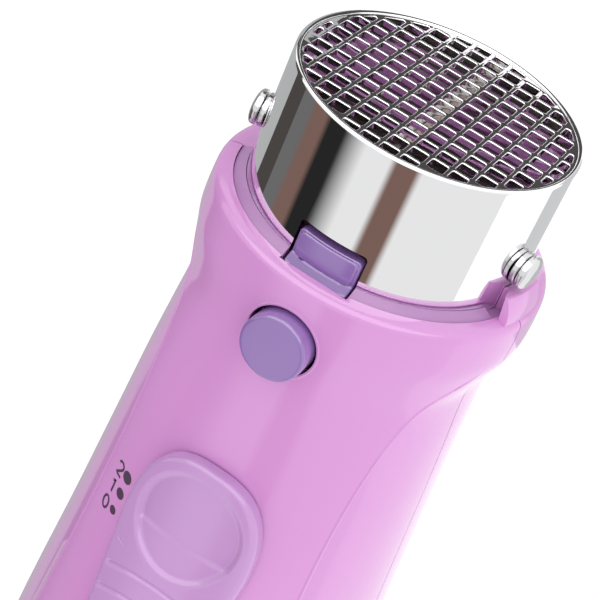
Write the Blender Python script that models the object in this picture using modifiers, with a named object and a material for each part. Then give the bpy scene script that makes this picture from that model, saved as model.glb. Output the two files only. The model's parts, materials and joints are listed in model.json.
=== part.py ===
"""Hot-air styler / hair dryer base unit, lying on its back.

The outlet points to -Y, the switch side faces +Z, and the origin is under the middle of the part.
Sizes are in millimetres and become metres where a mesh is made. Stations along the part, written
S_..., are measured from the outlet rim towards the tail. Heights, written Z_..., are measured
from the barrel's axis. Run it with blender --background --python part.py, or from the text editor.
"""

import math

import bmesh
import bpy
from mathutils import Matrix, Vector

MM = 0.001
GAP = 0.3  # clearance between two pieces that touch
SEGMENTS = 32  # facets round a large turned piece
FINE = 16  # facets round a small turned piece

# Overall lengths
S_SHELL_END = 190.0  # where the two shells end and the tail cap starts
TAIL_CAP_LENGTH = 10.0
GLAND_STICKOUT = 8.0
S_CAP_END = S_SHELL_END + TAIL_CAP_LENGTH
TOTAL = S_CAP_END + GLAND_STICKOUT

# Barrel, grille and the ring that seats the barrel
BARREL_R = 21.0
BARREL_WALL = 0.7
S_BARREL_END = 30.0
RIM_ROLL = 0.15  # how far the rolled rim stands proud of the barrel's bore
S_GRILLE = 0.3
GRILLE_DEPTH = 1.2
GRILLE_RIM = 0.6
GRILLE_PITCH = 3.05
GRILLE_BAR = 0.6
GRILLE_CROSS_PITCH = 2.95
GRILLE_CROSS = 0.5
S_RING_TOP = 20.1
RING_WALL = 1.3
RING_SLOPE = 0.9  # fall of the ring's conical top across its wall
RING_R = BARREL_R + GAP + RING_WALL

# Handle section: half-width, front and rear distance from the barrel's axis, all beyond BARREL_R
WALL = 2.0
S_SHOULDER = 20.8
SHOULDER_EXTRA = 4.2
LIP_SLOPE = 0.8  # length of the slope behind the shoulder's lip
S_WAIST = 36.5
WAIST_EXTRA = 2.25
S_BELLY = 128.0
BELLY_EXTRA = 8.1
TAIL_EXTRA = 3.2
REAR_EXTRA = 4.0
REAR_FLAT = 0.75  # how much the rear round is cut back to the flat that the part lies on
SEAM_LIFT = 4.0  # the seam, and the handle's middle plane, stand this far in front of the axis
FRONT_AT_SLIDE = 5.0  # front line beyond BARREL_R at S_SLIDE_START
S_SLIDE_START = 50.0
FRONT_SLOPE = 0.117
S_SLIDE_END = 102.0
CREASE_DEPTH = 0.8
S_CREASE = 30.0
SEAM_GAP = 0.2
AXIS_Z = BARREL_R + REAR_EXTRA  # height of the barrel's axis over the surface it lies on

# Release lever: catch, button, pivot and spring
CATCH_WIDTH = 9.8
S_NOTCH = 15.2
NOTCH_MARGIN = 0.4
S_CATCH = S_NOTCH + 1.2
CATCH_PROUD = 0.3
S_CATCH_EDGE = 20.5
CATCH_HEEL_RISE = 1.3  # the heel stays inside the shoulder's opening
CATCH_HEEL_LENGTH = 0.8
ARM_WIDTH = 8.0
ARM_THICK = 1.6
Z_ARM = BARREL_R - 2.0  # underside of the arm
S_BUTTON = 31.0
BUTTON_R = 4.95
BUTTON_GAP = 0.45
BUTTON_PROUD = 2.5
S_PIVOT = 46.0
PIVOT_R = 0.9
PIVOT_EYE_R = 1.9
PIVOT_PLATE = 2.4
S_SPRING = 51.6
SPRING_R = 1.5
SPRING_WIRE = 0.22
SPRING_TURNS = 3

# Studs, and the lug below the right one
S_STUD = 14.0
STUD_ANGLE = 10.2  # degrees in front of the barrel's side
STUD_HEAD_R = 2.65
STUD_HEAD = 1.8
STUD_SHANK_R = 1.1
WASHER_R = 2.55
WASHER_THICK = 0.9
S_LUG = 17.2
LUG_OUT = 2.4  # how far its top stands out from the barrel
LUG_FLARE = 1.0  # how much further its foot stands out
Z_LUG_FRONT = 7.5
Z_LUG_REAR = -1.0

# Slide switch; u runs down the handle's sloping front line from the knob's stem
S_STEM = 84.0
KNOB_NOSE = 30.4
KNOB_NOSE_LENGTH = 15.0
KNOB_TAIL = 14.0
KNOB_HALF = 10.6
KNOB_TAIL_HALF = 8.8
KNOB_RISE = 2.6
KNOB_SECTION_R = 26.0
DISH_R = 8.3
DISH_DEPTH = 0.9
DISH_U = -19.8
GRIP_U = -8.2
GRIP_STEP = 4.4
STEM_SIZE = 5.0
SWITCH_TRAVEL = 6.2
CARRIER_SIZE = 12.0
CARRIER_THICK = 1.9
SWITCH_BLOCK_WIDTH = 14.0

# Air path: heater sleeve, boards, coils, duct, motor and fan
LEVER_ROOM = 4.2  # between the barrel's outside and the sleeve's outside
SLEEVE_R = BARREL_R - LEVER_ROOM
SLEEVE_WALL = 0.6
S_LINER = 3.6
S_LINER_END = 13.0
LINER_WALL = 1.3
S_SLEEVE = 8.0
S_SLEEVE_END = 72.0
S_BOARD = 4.0
S_BOARD_END = 64.0
BOARD_THICK = 0.8
COIL_WIRE = 0.45
COIL_TURNS = 4
DISC_THICK = 1.0
DUCT_WALL = 1.0
S_DUCT = 66.0
S_DUCT_END = 126.0
DUCT_R = SLEEVE_R + 2.7
MOTOR_R = 12.0
MOTOR_WALL = 0.8
S_MOTOR = 80.0
MOTOR_LENGTH = 24.0
MOTOR_CAP = 2.6
SHAFT_R = 1.0
BEARING_R = 3.0
ARMATURE_R = 9.0
FAN_GAP = 0.8
FAN_HUB_R = 6.5
S_FAN = 112.0
FAN_DEPTH = 11.0
FAN_BLADES = 7
VANES = 5

# Screws, circuit board, filter and cord gland
SCREW_R = 1.2
SCREW_HEAD_R = 2.2
BOSS_R = 3.2
Z_SCREW_SEAT = -7.0
S_SCREW_FRONT = 113.0
S_SCREW_REAR = S_SHELL_END - 22.0
BOARD_HALF = 10.0
Z_CIRCUIT = 12.0
BOARD_FR4 = 1.6
S_BOARD_POST = 146.0
GLAND_R = 5.4
GLAND_FLANGE_R = 7.2
GLAND_BORE_R = 2.0
CAP_WALL = 2.0
INLET_SLOTS = 12

PINK = (0.70, 0.37, 0.70)
PURPLE = (0.36, 0.20, 0.50)
LAVENDER = (0.60, 0.36, 0.62)
CHROME = (0.80, 0.80, 0.82)
STEEL = (0.55, 0.55, 0.57)
MICA = (0.72, 0.66, 0.55)
BLACK = (0.03, 0.03, 0.035)
COPPER = (0.70, 0.35, 0.20)
NICHROME = (0.45, 0.43, 0.42)
NYLON = (0.85, 0.85, 0.80)


def clear_scene():
    for obj in list(bpy.data.objects):
        bpy.data.objects.remove(obj, do_unlink=True)


def new_collection(name, hidden=False):
    made = bpy.data.collections.new(name)
    bpy.context.scene.collection.children.link(made)
    made.hide_render = hidden
    return made


clear_scene()
PARTS = new_collection("hair_dryer")
CUTTERS = new_collection("cutters", hidden=True)
MATERIALS = {}


def material(name, colour, roughness, metallic=0.0):
    if name not in MATERIALS:
        made = bpy.data.materials.new(name)
        made.use_nodes = True
        shader = made.node_tree.nodes["Principled BSDF"]
        shader.inputs["Base Color"].default_value = (*colour, 1.0)
        shader.inputs["Roughness"].default_value = roughness
        shader.inputs["Metallic"].default_value = metallic
        made.diffuse_color = (*colour, 1.0)
        MATERIALS[name] = made
    return MATERIALS[name]


def place(name, mesh, look=None, cutter=False):
    """A new object from a mesh: a piece with its material, or a hidden cutter."""
    obj = bpy.data.objects.new(name, mesh)
    (CUTTERS if cutter else PARTS).objects.link(obj)
    if cutter:
        obj.hide_render = True
        obj.display_type = "WIRE"
    if look:
        mesh.materials.append(material(*look))
    return obj


def y_at(station):
    """World Y, in millimetres, of a station measured from the outlet rim."""
    return station - TOTAL / 2


def world(x, station, z):
    """World point in metres, from the side distance, the station and the height over the axis."""
    return Vector((x, y_at(station), AXIS_Z + z)) * MM


def finish(name, bm, look=None, cutter=False, smooth=True):
    bmesh.ops.recalc_face_normals(bm, faces=bm.faces)
    mesh = bpy.data.meshes.new(name)
    bm.to_mesh(mesh)
    bm.free()
    obj = place(name, mesh, look, cutter)
    if smooth:
        mesh.shade_smooth()
        mesh.set_sharp_from_angle(angle=math.radians(32))
    return obj


def add_box(bm, x, s, z):
    """A box between two side distances, two stations and two heights."""
    low, high = world(x[0], s[0], z[0]), world(x[1], s[1], z[1])
    size = Matrix.Diagonal((*(high - low), 1.0))
    bmesh.ops.create_cube(bm, size=1.0, matrix=Matrix.Translation((low + high) / 2) @ size)


def box(name, x, s, z, look=None, cutter=False, soften=0.0):
    bm = bmesh.new()
    add_box(bm, x, s, z)
    obj = finish(name, bm, look, cutter, smooth=False)
    if soften:
        bevel(obj, soften)
    return obj


def bevel(obj, width, segments=2):
    mod = obj.modifiers.new("soften", "BEVEL")
    mod.width = width * MM
    mod.segments = segments
    mod.limit_method = "ANGLE"
    mod.angle_limit = math.radians(40)
    return mod


def add_rod(bm, start, end, radius, segments=FINE, end_radius=None):
    """A cylinder or cone between two world points in metres."""
    along = end - start
    middle = Matrix.Translation((start + end) / 2)
    turn = along.to_track_quat("Z", "Y").to_matrix().to_4x4()
    bmesh.ops.create_cone(
        bm,
        cap_ends=True,
        segments=segments,
        radius1=radius * MM,
        radius2=(radius if end_radius is None else end_radius) * MM,
        depth=along.length,
        matrix=middle @ turn,
    )


def rod(name, start, end, radius, look=None, cutter=False, segments=FINE):
    bm = bmesh.new()
    add_rod(bm, start, end, radius, segments)
    return finish(name, bm, look, cutter)


def turned(name, profile, look=None, cutter=False, segments=SEGMENTS, at=None, along=None):
    """A profile of (radius, distance) points turned about an axis through `at`, along `along`."""
    area = 0.0
    for (r0, h0), (r1, h1) in zip(profile, profile[1:] + profile[:1]):
        area += r0 * h1 - r1 * h0
    points = list(profile) if area < 0 else list(reversed(profile))
    solid = min(r for r, _ in points) <= 0.0
    if solid:
        while not (points[0][0] <= 0.0 and points[-1][0] <= 0.0):
            points = points[1:] + points[:1]
    mesh = bpy.data.meshes.new(name)
    verts = [(r * MM, 0.0, h * MM) for r, h in points]
    edges = [(i, i + 1) for i in range(len(points) - 1)]
    if not solid:
        edges.append((len(points) - 1, 0))
    mesh.from_pydata(verts, edges, [])
    obj = place(name, mesh, look, cutter)
    obj.location = world(0, 0, 0) if at is None else at
    along = Vector((0, 1, 0)) if along is None else along
    obj.rotation_mode = "QUATERNION"
    obj.rotation_quaternion = along.to_track_quat("Z", "Y")
    screw = obj.modifiers.new("turn", "SCREW")
    screw.axis = "Z"
    screw.angle = math.tau
    screw.steps = screw.render_steps = segments
    screw.use_merge_vertices = True
    screw.merge_threshold = 0.000001
    screw.use_smooth_shade = True
    return obj


def tube_profile(outer, inner, start, end):
    return [(outer, start), (outer, end), (inner, end), (inner, start)]


def combine(obj, other, operation):
    mod = obj.modifiers.new(operation.lower(), "BOOLEAN")
    mod.operation = operation
    mod.object = other
    mod.solver = "EXACT"
    return obj


def cut(obj, *cutters):
    for cutter in cutters:
        combine(obj, cutter, "DIFFERENCE")
    return obj


def join(obj, *others):
    for other in others:
        combine(obj, other, "UNION")
    return obj


def wire(name, points, radius, look):
    """A round wire through world points in metres."""
    curve = bpy.data.curves.new(name, "CURVE")
    curve.dimensions = "3D"
    curve.bevel_depth = radius * MM
    curve.bevel_resolution = 2
    curve.use_fill_caps = True
    spline = curve.splines.new("POLY")
    spline.points.add(len(points) - 1)
    for point, place_at in zip(spline.points, points):
        point.co = (*place_at, 1.0)
    obj = bpy.data.objects.new(name, curve)
    PARTS.objects.link(obj)
    curve.materials.append(material(*look))
    return obj


def smooth_path(corners, count):
    """Points on a smooth curve through the corners (Catmull-Rom)."""
    ends = [corners[0] * 2 - corners[1], *corners, corners[-1] * 2 - corners[-2]]
    made = []
    for i in range(1, len(ends) - 2):
        p0, p1, p2, p3 = ends[i - 1 : i + 3]
        for k in range(count):
            t = k / count
            made.append(
                0.5
                * (
                    2 * p1
                    + (p2 - p0) * t
                    + (2 * p0 - 5 * p1 + 4 * p2 - p3) * t * t
                    + (3 * p1 - p0 - 3 * p2 + p3) * t**3
                )
            )
    return [*made, corners[-1]]


# ---- the handle's surface -------------------------------------------------------------------


def ease(t):
    t = min(1.0, max(0.0, t))
    return t * t * (3 - 2 * t)


def along(stations, s):
    """Smooth interpolation through (station, value) pairs."""
    if s <= stations[0][0]:
        return stations[0][1]
    for i in range(len(stations) - 1):
        (s0, v0), (s1, v1) = stations[i], stations[i + 1]
        if s > s1:
            continue
        before = stations[i - 1] if i else stations[i]
        after = stations[i + 2] if i + 2 < len(stations) else stations[i + 1]
        m0 = (v1 - before[1]) / max(1e-6, s1 - before[0])
        m1 = (after[1] - v0) / max(1e-6, after[0] - s0)
        width = s1 - s0
        t = (s - s0) / width
        return (
            (2 * t**3 - 3 * t**2 + 1) * v0
            + (t**3 - 2 * t**2 + t) * width * m0
            + (3 * t**2 - 2 * t**3) * v1
            + (t**3 - t**2) * width * m1
        )
    return stations[-1][1]


def half_width(s):
    tail = S_SHELL_END
    stations = [
        (S_SHOULDER + 1.8, SHOULDER_EXTRA - 0.05),
        (S_WAIST - 11, SHOULDER_EXTRA + 0.05),
        (S_WAIST - 8, SHOULDER_EXTRA - 0.1),
        (S_WAIST - 4, WAIST_EXTRA + 0.75),
        (S_WAIST, WAIST_EXTRA),
        (S_WAIST + 8, WAIST_EXTRA + 0.4),
        ((S_WAIST + S_BELLY) / 2, (WAIST_EXTRA + BELLY_EXTRA) / 2 - 0.1),
        (S_BELLY, BELLY_EXTRA),
        ((S_BELLY + tail) / 2, (BELLY_EXTRA + TAIL_EXTRA) / 2 + 1.1),
        (tail, TAIL_EXTRA),
        (S_CAP_END, -2.0),
    ]
    return BARREL_R + along(stations, s)


def front_line(s):
    slide_end = FRONT_AT_SLIDE + FRONT_SLOPE * (S_SLIDE_END - S_SLIDE_START)
    if S_SLIDE_START <= s <= S_SLIDE_END:
        return BARREL_R + FRONT_AT_SLIDE + FRONT_SLOPE * (s - S_SLIDE_START)
    if s < S_SLIDE_START:
        stations = [
            (S_SHOULDER + 1.8, SHOULDER_EXTRA - 0.05),
            (S_WAIST - 8, SHOULDER_EXTRA),
            (S_WAIST - 1, SHOULDER_EXTRA - 0.35),
            (S_SLIDE_START - 6, FRONT_AT_SLIDE - FRONT_SLOPE * 6 + 0.05),
            (S_SLIDE_START, FRONT_AT_SLIDE),
            (S_SLIDE_START + 6, FRONT_AT_SLIDE + FRONT_SLOPE * 6),
        ]
        return BARREL_R + along(stations, s)
    peak = slide_end + 1.1
    stations = [
        (S_SLIDE_END - 8, slide_end - FRONT_SLOPE * 8),
        (S_SLIDE_END, slide_end),
        (S_BELLY, peak),
        ((S_BELLY + S_SHELL_END) / 2, peak - 1.9),
        (S_SHELL_END, SEAM_LIFT + TAIL_EXTRA - 1.2),
        (S_CAP_END, SEAM_LIFT - 3.0),
    ]
    return BARREL_R + along(stations, s)


def rear_line(s):
    """Rear distance from the axis; it is cut off at AXIS_Z, which leaves the flat strip."""
    full = REAR_EXTRA + REAR_FLAT
    stations = [
        (S_SHOULDER, full),
        (S_SHELL_END - 27, full),
        (S_SHELL_END - 12, full - 1.6),
        (S_SHELL_END, TAIL_EXTRA - SEAM_LIFT + 0.4),
        (S_CAP_END, -SEAM_LIFT - 2.6),
    ]
    return BARREL_R + along(stations, s)


def middle(s):
    """How far the widest line stands in front of the barrel's axis."""
    return SEAM_LIFT * ease((s - S_SHOULDER - 3) / 34)


def crease_angle(s):
    """Angle from the front of the crease where the front panel meets the hollowed flank."""
    stations = [(S_CREASE - 4, 78), (S_CREASE, 70), (S_WAIST, 56), (S_WAIST + 10, 48)]
    stations += [(S_WAIST + 29.5, 44), (S_SLIDE_END + 8, 45)]
    return along(stations, s)


FRONT_COLUMNS = 6
FLANK_COLUMNS = 12


def columns(s):
    """Angles round the section, from the front over +X to the rear and back over -X."""
    crease = crease_angle(s)
    side = [crease * i / FRONT_COLUMNS for i in range(FRONT_COLUMNS)]
    side += [crease + (180 - crease) * i / FLANK_COLUMNS for i in range(FLANK_COLUMNS)]
    return side + [360 - a for a in [180, *reversed(side[1:])]]


def section_point(angle, s, wide, front, rear, mid, floor, hollow):
    bend = math.radians(angle)
    depth = front - mid if math.cos(bend) > 0 else rear + mid
    x = wide * math.sin(bend)
    z = mid + depth * math.cos(bend)
    turn = angle if angle <= 180 else 360 - angle
    crease = crease_angle(s)
    if hollow > 0 and crease < turn < 110:
        dip = hollow * math.sin(math.pi * (turn - crease) / (110 - crease))
        x -= dip * math.sin(bend)
        z -= dip * math.cos(bend)
    return world(x, s, max(z, -floor))


def loft(name, rows, look=None, cutter=False):
    """A closed skin through rows of (station, half-width, front, rear, middle, floor, hollow)."""
    bm = bmesh.new()
    rings = []
    for s, wide, front, rear, mid, floor, hollow in rows:
        points = [section_point(a, s, wide, front, rear, mid, floor, hollow) for a in columns(s)]
        rings.append([bm.verts.new(p) for p in points])
    for ring, following in zip(rings, rings[1:] + rings[:1]):
        count = len(ring)
        for i in range(count):
            k = (i + 1) % count
            bm.faces.new((ring[i], ring[k], following[k], following[i]))
    return finish(name, bm, look, cutter)


def body_row(s, inset=0.0):
    hollow = CREASE_DEPTH * ease((s - S_CREASE) / 9)
    return (
        s,
        half_width(s) - inset,
        front_line(s) - inset,
        rear_line(s) - inset,
        middle(s),
        AXIS_Z - inset,
        hollow,
    )


def core_solid(name, inset):
    """A solid of the handle's outer shape, set in from its surface, that trims what stands inside."""
    count = 16
    start, end = S_WAIST, S_SHELL_END - 1
    bm = bmesh.new()
    rings = []
    for i in range(count + 1):
        s = start + (end - start) * i / count
        row = body_row(s, inset)
        rings.append([bm.verts.new(section_point(a, *row)) for a in columns(s)])
    for ring, following in zip(rings, rings[1:]):
        for i in range(len(ring)):
            k = (i + 1) % len(ring)
            bm.faces.new((ring[i], ring[k], following[k], following[i]))
    bm.faces.new(rings[0])
    bm.faces.new(list(reversed(rings[-1])))
    return finish(name, bm, cutter=True)


def round_row(s, radius):
    return (s, radius, radius, radius, 0.0, AXIS_Z, 0.0)


def shell_stations():
    """Where the skin has a ring of points: close together at the shoulder and the tail."""
    made = [S_SHOULDER + 3.6, S_WAIST - 10, S_WAIST - 8, S_WAIST - 6, S_WAIST - 4, S_WAIST - 2, S_WAIST]
    made += [S_WAIST + 4, S_WAIST + 9]
    near, far = S_WAIST + 9, S_SHELL_END - 38
    made += [near + (far - near) * i / 9 for i in range(1, 9)]
    made += [S_SHELL_END - 38, S_SHELL_END - 27, S_SHELL_END - 18, S_SHELL_END - 9, S_SHELL_END]
    return sorted(made)


def shell_skin(name, look, opening):
    """The whole handle skin, from its front opening over the shoulder to the tail, and back inside."""
    outer_r = BARREL_R + SHOULDER_EXTRA
    body = shell_stations()
    rows = [round_row(S_SHOULDER, opening)]
    rows.append(round_row(S_SHOULDER + 0.55, outer_r - 1.0))
    rows.append(round_row(S_SHOULDER + 0.9, outer_r - 0.45))
    rows.append(round_row(S_SHOULDER + 1.5, outer_r - 0.12))
    rows += [body_row(s) for s in body]
    inside = [s for s in body if s > S_SHOULDER + 5]
    rows += [body_row(s, WALL) for s in reversed(inside)]
    rows.append(round_row(S_SHOULDER + WALL + LIP_SLOPE, outer_r - WALL))
    rows.append(round_row(S_SHOULDER + WALL, opening))
    return loft(name, rows, look)


def front_at(x, s):
    """Height of the outside over the axis, at a side distance and a station in front of the seam."""
    mid = middle(s)
    return mid + (front_line(s) - mid) * math.sqrt(max(0.0, 1 - (x / half_width(s)) ** 2))


# ---- casing -----------------------------------------------------------------------------------

PINK_SHELL = ("pink_shell", PINK, 0.18)
SLOPE = math.atan(FRONT_SLOPE)
SLIDE_FRAME = Matrix.Translation(world(0, S_STEM, front_line(S_STEM))) @ Matrix.Rotation(SLOPE, 4, "X")


def slide_box(bm, v, u, w):
    """A box in the switch's sloping frame: v across, u down the handle, w out of the surface."""
    low, high = Vector((v[0], u[0], w[0])) * MM, Vector((v[1], u[1], w[1])) * MM
    size = Matrix.Diagonal((*(high - low), 1.0))
    bmesh.ops.create_cube(bm, size=1.0, matrix=SLIDE_FRAME @ Matrix.Translation((low + high) / 2) @ size)


def screw_places():
    inside = half_width(S_SCREW_FRONT) - WALL
    side = max(DUCT_R + GAP + BOSS_R, inside - BOSS_R - 0.2)
    front = [("a", side, S_SCREW_FRONT), ("b", -side, S_SCREW_FRONT)]
    return front + [("c", 12.0, S_SCREW_REAR), ("d", -12.0, S_SCREW_REAR)]


def half_space(name, above):
    reach = BARREL_R * 3
    edge = SEAM_LIFT + (SEAM_GAP / 2 if above else -SEAM_GAP / 2)
    z = (-reach, edge) if above else (edge, reach)
    return box(name, (-reach, reach), (-20, TOTAL + 20), z, cutter=True)


def front_shell():
    shell = shell_skin("front_shell", PINK_SHELL, RING_R + GAP)
    cut(shell, half_space("cut_below_seam", above=True))
    bm = bmesh.new()
    for _, x, s in screw_places():
        add_rod(bm, world(x, s, SEAM_LIFT + SEAM_GAP / 2), world(x, s, AXIS_Z + 20), BOSS_R)
    for x in (-BOARD_HALF + 3, BOARD_HALF - 3):
        foot = world(x, S_BOARD_POST, Z_CIRCUIT + BOARD_FR4 + GAP)
        add_rod(bm, foot, world(x, S_BOARD_POST, AXIS_Z + 20), 2.0)
    bosses = finish("add_front_bosses", bm, cutter=True)
    join(shell, combine(bosses, core_solid("keep_front_bosses", WALL * 0.3), "INTERSECT"))
    bm = bmesh.new()
    plate = ARM_WIDTH / 2 + GAP
    for side in (-1, 1):
        x = sorted((side * plate, side * (plate + PIVOT_PLATE)))
        top = front_at(plate + PIVOT_PLATE, S_PIVOT) - WALL * 0.5
        add_box(bm, x, (S_PIVOT - 2.6, S_PIVOT + 2.6), (Z_ARM - 1.2, top))
    join(shell, finish("add_pivot_plates", bm, cutter=True))
    bm = bmesh.new()
    for _, x, s in screw_places():
        add_rod(bm, world(x, s, SEAM_LIFT - 2), world(x, s, SEAM_LIFT + 9), SCREW_R + GAP)
    cut(shell, finish("cut_screw_bores", bm, cutter=True))
    pin_reach = plate + PIVOT_PLATE - 0.6
    pin_hole = rod(
        "cut_pivot_hole",
        world(-pin_reach, S_PIVOT, pivot_z()),
        world(pin_reach, S_PIVOT, pivot_z()),
        PIVOT_R + GAP,
        cutter=True,
    )
    hole = rod(
        "cut_button_hole",
        world(0, S_BUTTON, Z_ARM),
        world(0, S_BUTTON, BARREL_R + 12),
        BUTTON_R + BUTTON_GAP,
        cutter=True,
        segments=32,
    )
    heel_r = BARREL_R + CATCH_PROUD + CATCH_HEEL_RISE
    gap = CATCH_WIDTH / 2 + NOTCH_MARGIN
    pocket_s = (S_SHOULDER - 3, S_SHOULDER + 0.5)
    pocket = box("cut_catch_pocket", (-gap, gap), pocket_s, (0, heel_r + GAP), cutter=True)
    bm = bmesh.new()
    slot = STEM_SIZE / 2 + 0.4
    slide_box(bm, (-slot, slot), (-slot - SWITCH_TRAVEL, slot), (-8, 4))
    return cut(shell, pin_hole, hole, pocket, finish("cut_switch_slot", bm, cutter=True, smooth=False))


def rear_shell():
    shell = shell_skin("rear_shell", PINK_SHELL, BARREL_R + GAP)
    cut(shell, half_space("cut_above_seam", above=False))
    bm = bmesh.new()
    for _, x, s in screw_places():
        add_rod(bm, world(x, s, -AXIS_Z - 3), world(x, s, SEAM_LIFT - SEAM_GAP / 2), BOSS_R)
    bosses = finish("add_rear_bosses", bm, cutter=True)
    join(shell, combine(bosses, core_solid("keep_rear_bosses", WALL * 0.3), "INTERSECT"))
    bm = bmesh.new()
    for _, x, s in screw_places():
        add_rod(bm, world(x, s, Z_SCREW_SEAT - 8), world(x, s, SEAM_LIFT + 4), SCREW_R + GAP)
    cut(shell, finish("cut_screw_ways", bm, cutter=True))
    bm = bmesh.new()
    for _, x, s in screw_places():
        add_rod(bm, world(x, s, -AXIS_Z - 5), world(x, s, Z_SCREW_SEAT), SCREW_HEAD_R + GAP)
    cut(shell, finish("cut_screw_sinks", bm, cutter=True))
    return join(shell, lug())


def lug():
    """The ear on the shoulder below the right stud: a piece of a flared ring, cut to its height."""
    inner, top = BARREL_R + GAP, BARREL_R + LUG_OUT
    foot = top + LUG_FLARE
    profile = [
        (inner, S_LUG),
        (top - 0.5, S_LUG),
        (top, S_LUG + 0.35),
        (top + LUG_FLARE * 0.5, S_LUG + 1.2),
        (foot, S_SHOULDER - 0.1),
        (foot, S_SHOULDER + WALL * 0.6),
        (inner + 0.2, S_SHOULDER + WALL * 0.6),
        (inner, S_SHOULDER - 0.1),
    ]
    ear = turned("add_lug", profile, cutter=True, segments=96)
    keep_s = (S_LUG - 2, S_SHOULDER + WALL)
    keep = box("keep_lug", (-foot - 3, 0), keep_s, (Z_LUG_REAR, Z_LUG_FRONT), cutter=True)
    combine(ear, keep, "INTERSECT")
    seam = SEAM_LIFT - SEAM_GAP / 2
    # Past the seam the ear stands just clear of the front shell's shoulder.
    clear_s = (S_SHOULDER - 0.1, S_SHOULDER + 4)
    clear = box("cut_lug_foot", (-foot - 3, 0), clear_s, (seam, Z_LUG_FRONT + 2), cutter=True)
    return cut(ear, clear)


def screws():
    for letter, x, s in screw_places():
        profile = [
            (0, 0),
            (SCREW_HEAD_R, 0),
            (SCREW_HEAD_R, 1.5),
            (SCREW_R, 1.5),
            (SCREW_R, 17.5),
            (SCREW_R * 0.4, 18.6),
            (0, 18.6),
        ]
        at = world(x, s, Z_SCREW_SEAT - 1.5 - GAP)
        look = ("screw_steel", STEEL, 0.3, 1.0)
        screw = turned("shell_screw_" + letter, profile, look, segments=16, at=at, along=Vector((0, 0, 1)))
        bm = bmesh.new()
        for wide, deep in ((0.9, 0.22), (0.22, 0.9)):
            z0 = Z_SCREW_SEAT - 1.5 - GAP
            add_box(bm, (x - wide, x + wide), (s - deep, s + deep), (z0 - 1, z0 + 0.7))
        slots = finish("cut_driver_" + letter, bm, cutter=True, smooth=False)
        mod = cut(screw, slots).modifiers[-1]
        mod.use_self = True


# ---- outlet -------------------------------------------------------------------------------------


def barrel():
    inner = BARREL_R - BARREL_WALL
    profile = [
        (BARREL_R - 0.35, 0),
        (BARREL_R - 0.1, 0.12),
        (BARREL_R, 0.45),
        (BARREL_R, S_BARREL_END),
        (inner, S_BARREL_END),
        (inner, 1.0),
        (inner - RIM_ROLL * 0.6, 0.75),
        (inner - RIM_ROLL, 0.4),
        (inner - RIM_ROLL * 0.5, 0.08),
        (inner, 0),
    ]
    tube = turned("barrel", profile, ("chrome", CHROME, 0.08, 1.0), segments=48)
    half = CATCH_WIDTH / 2 + NOTCH_MARGIN
    notch = box("cut_notch", (-half, half), (S_NOTCH, S_BARREL_END + 3), (0, BARREL_R + 6), cutter=True)
    cut(tube, notch)
    for side, name in ((1, "left"), (-1, "right")):
        ends = stud_point(side, BARREL_R - 5), stud_point(side, BARREL_R + 5)
        hole = rod("cut_stud_" + name, *ends, STUD_SHANK_R + GAP, cutter=True)
        cut(tube, hole)
    return tube


def stud_point(side, out):
    turn = math.radians(STUD_ANGLE)
    return world(side * out * math.cos(turn), S_STUD, out * math.sin(turn))


def studs():
    """Each stud is one rivet: a head inside the barrel, a shank, and a dome outside its washer."""
    flat = BARREL_R + GAP
    dome = flat + WASHER_THICK + GAP
    inside = math.sqrt((BARREL_R - BARREL_WALL) ** 2 - 4) - GAP
    for side, name in ((1, "left"), (-1, "right")):
        out = (stud_point(side, 1) - stud_point(side, 0)).normalized()
        head = STUD_HEAD_R
        profile = [(0, inside - 0.8), (2.0, inside - 0.8), (2.0, inside), (STUD_SHANK_R, inside)]
        profile += [(STUD_SHANK_R, dome), (head - 0.25, dome), (head, dome + 0.25)]
        profile += [(head, dome + 0.6), (head * 0.9, dome + 1.15), (head * 0.62, dome + 1.6)]
        profile += [(head * 0.3, dome + STUD_HEAD), (0, dome + STUD_HEAD)]
        chrome = ("chrome", CHROME, 0.08, 1.0)
        turned("stud_" + name, profile, chrome, segments=16, at=stud_point(side, 0), along=out)
        washer = tube_profile(WASHER_R, STUD_SHANK_R + GAP, flat, flat + WASHER_THICK)
        turned("stud_washer_" + name, washer, chrome, segments=16, at=stud_point(side, 0), along=out)


def grille():
    inner = BARREL_R - BARREL_WALL
    outer = inner - GAP
    start = S_GRILLE + GAP
    end = start + GRILLE_DEPTH
    look = ("grille_chrome", CHROME, 0.15, 1.0)
    frame = turned("outlet_grille", tube_profile(outer, outer - GRILLE_RIM, start, end), look, segments=48)
    centre = Matrix.Translation(world(0, (start + end) / 2, 0))
    reach_r = outer - GRILLE_RIM * 0.5
    for name, pitch, thick, deep, lengthwise in (
        ("add_long_bars", GRILLE_PITCH, GRILLE_BAR, GRILLE_DEPTH * 0.9, True),
        ("add_cross_bars", GRILLE_CROSS_PITCH, GRILLE_CROSS, GRILLE_DEPTH * 0.6, False),
    ):
        bm = bmesh.new()
        count = int(outer / pitch)
        for i in range(-count, count + 1):
            away = i * pitch
            if abs(away) > outer - GRILLE_RIM - 1.0:
                continue
            reach = math.sqrt(reach_r**2 - away**2)
            size = (thick, deep, 2 * reach) if lengthwise else (2 * reach, deep, thick)
            shift = (away, 0, 0) if lengthwise else (0, 0, away)
            scale = Matrix.Diagonal((*(Vector(size) * MM), 1.0))
            matrix = centre @ Matrix.Translation(Vector(shift) * MM) @ scale
            bmesh.ops.create_cube(bm, size=1.0, matrix=matrix)
        join(frame, finish(name, bm, cutter=True, smooth=False))
    return frame


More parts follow.
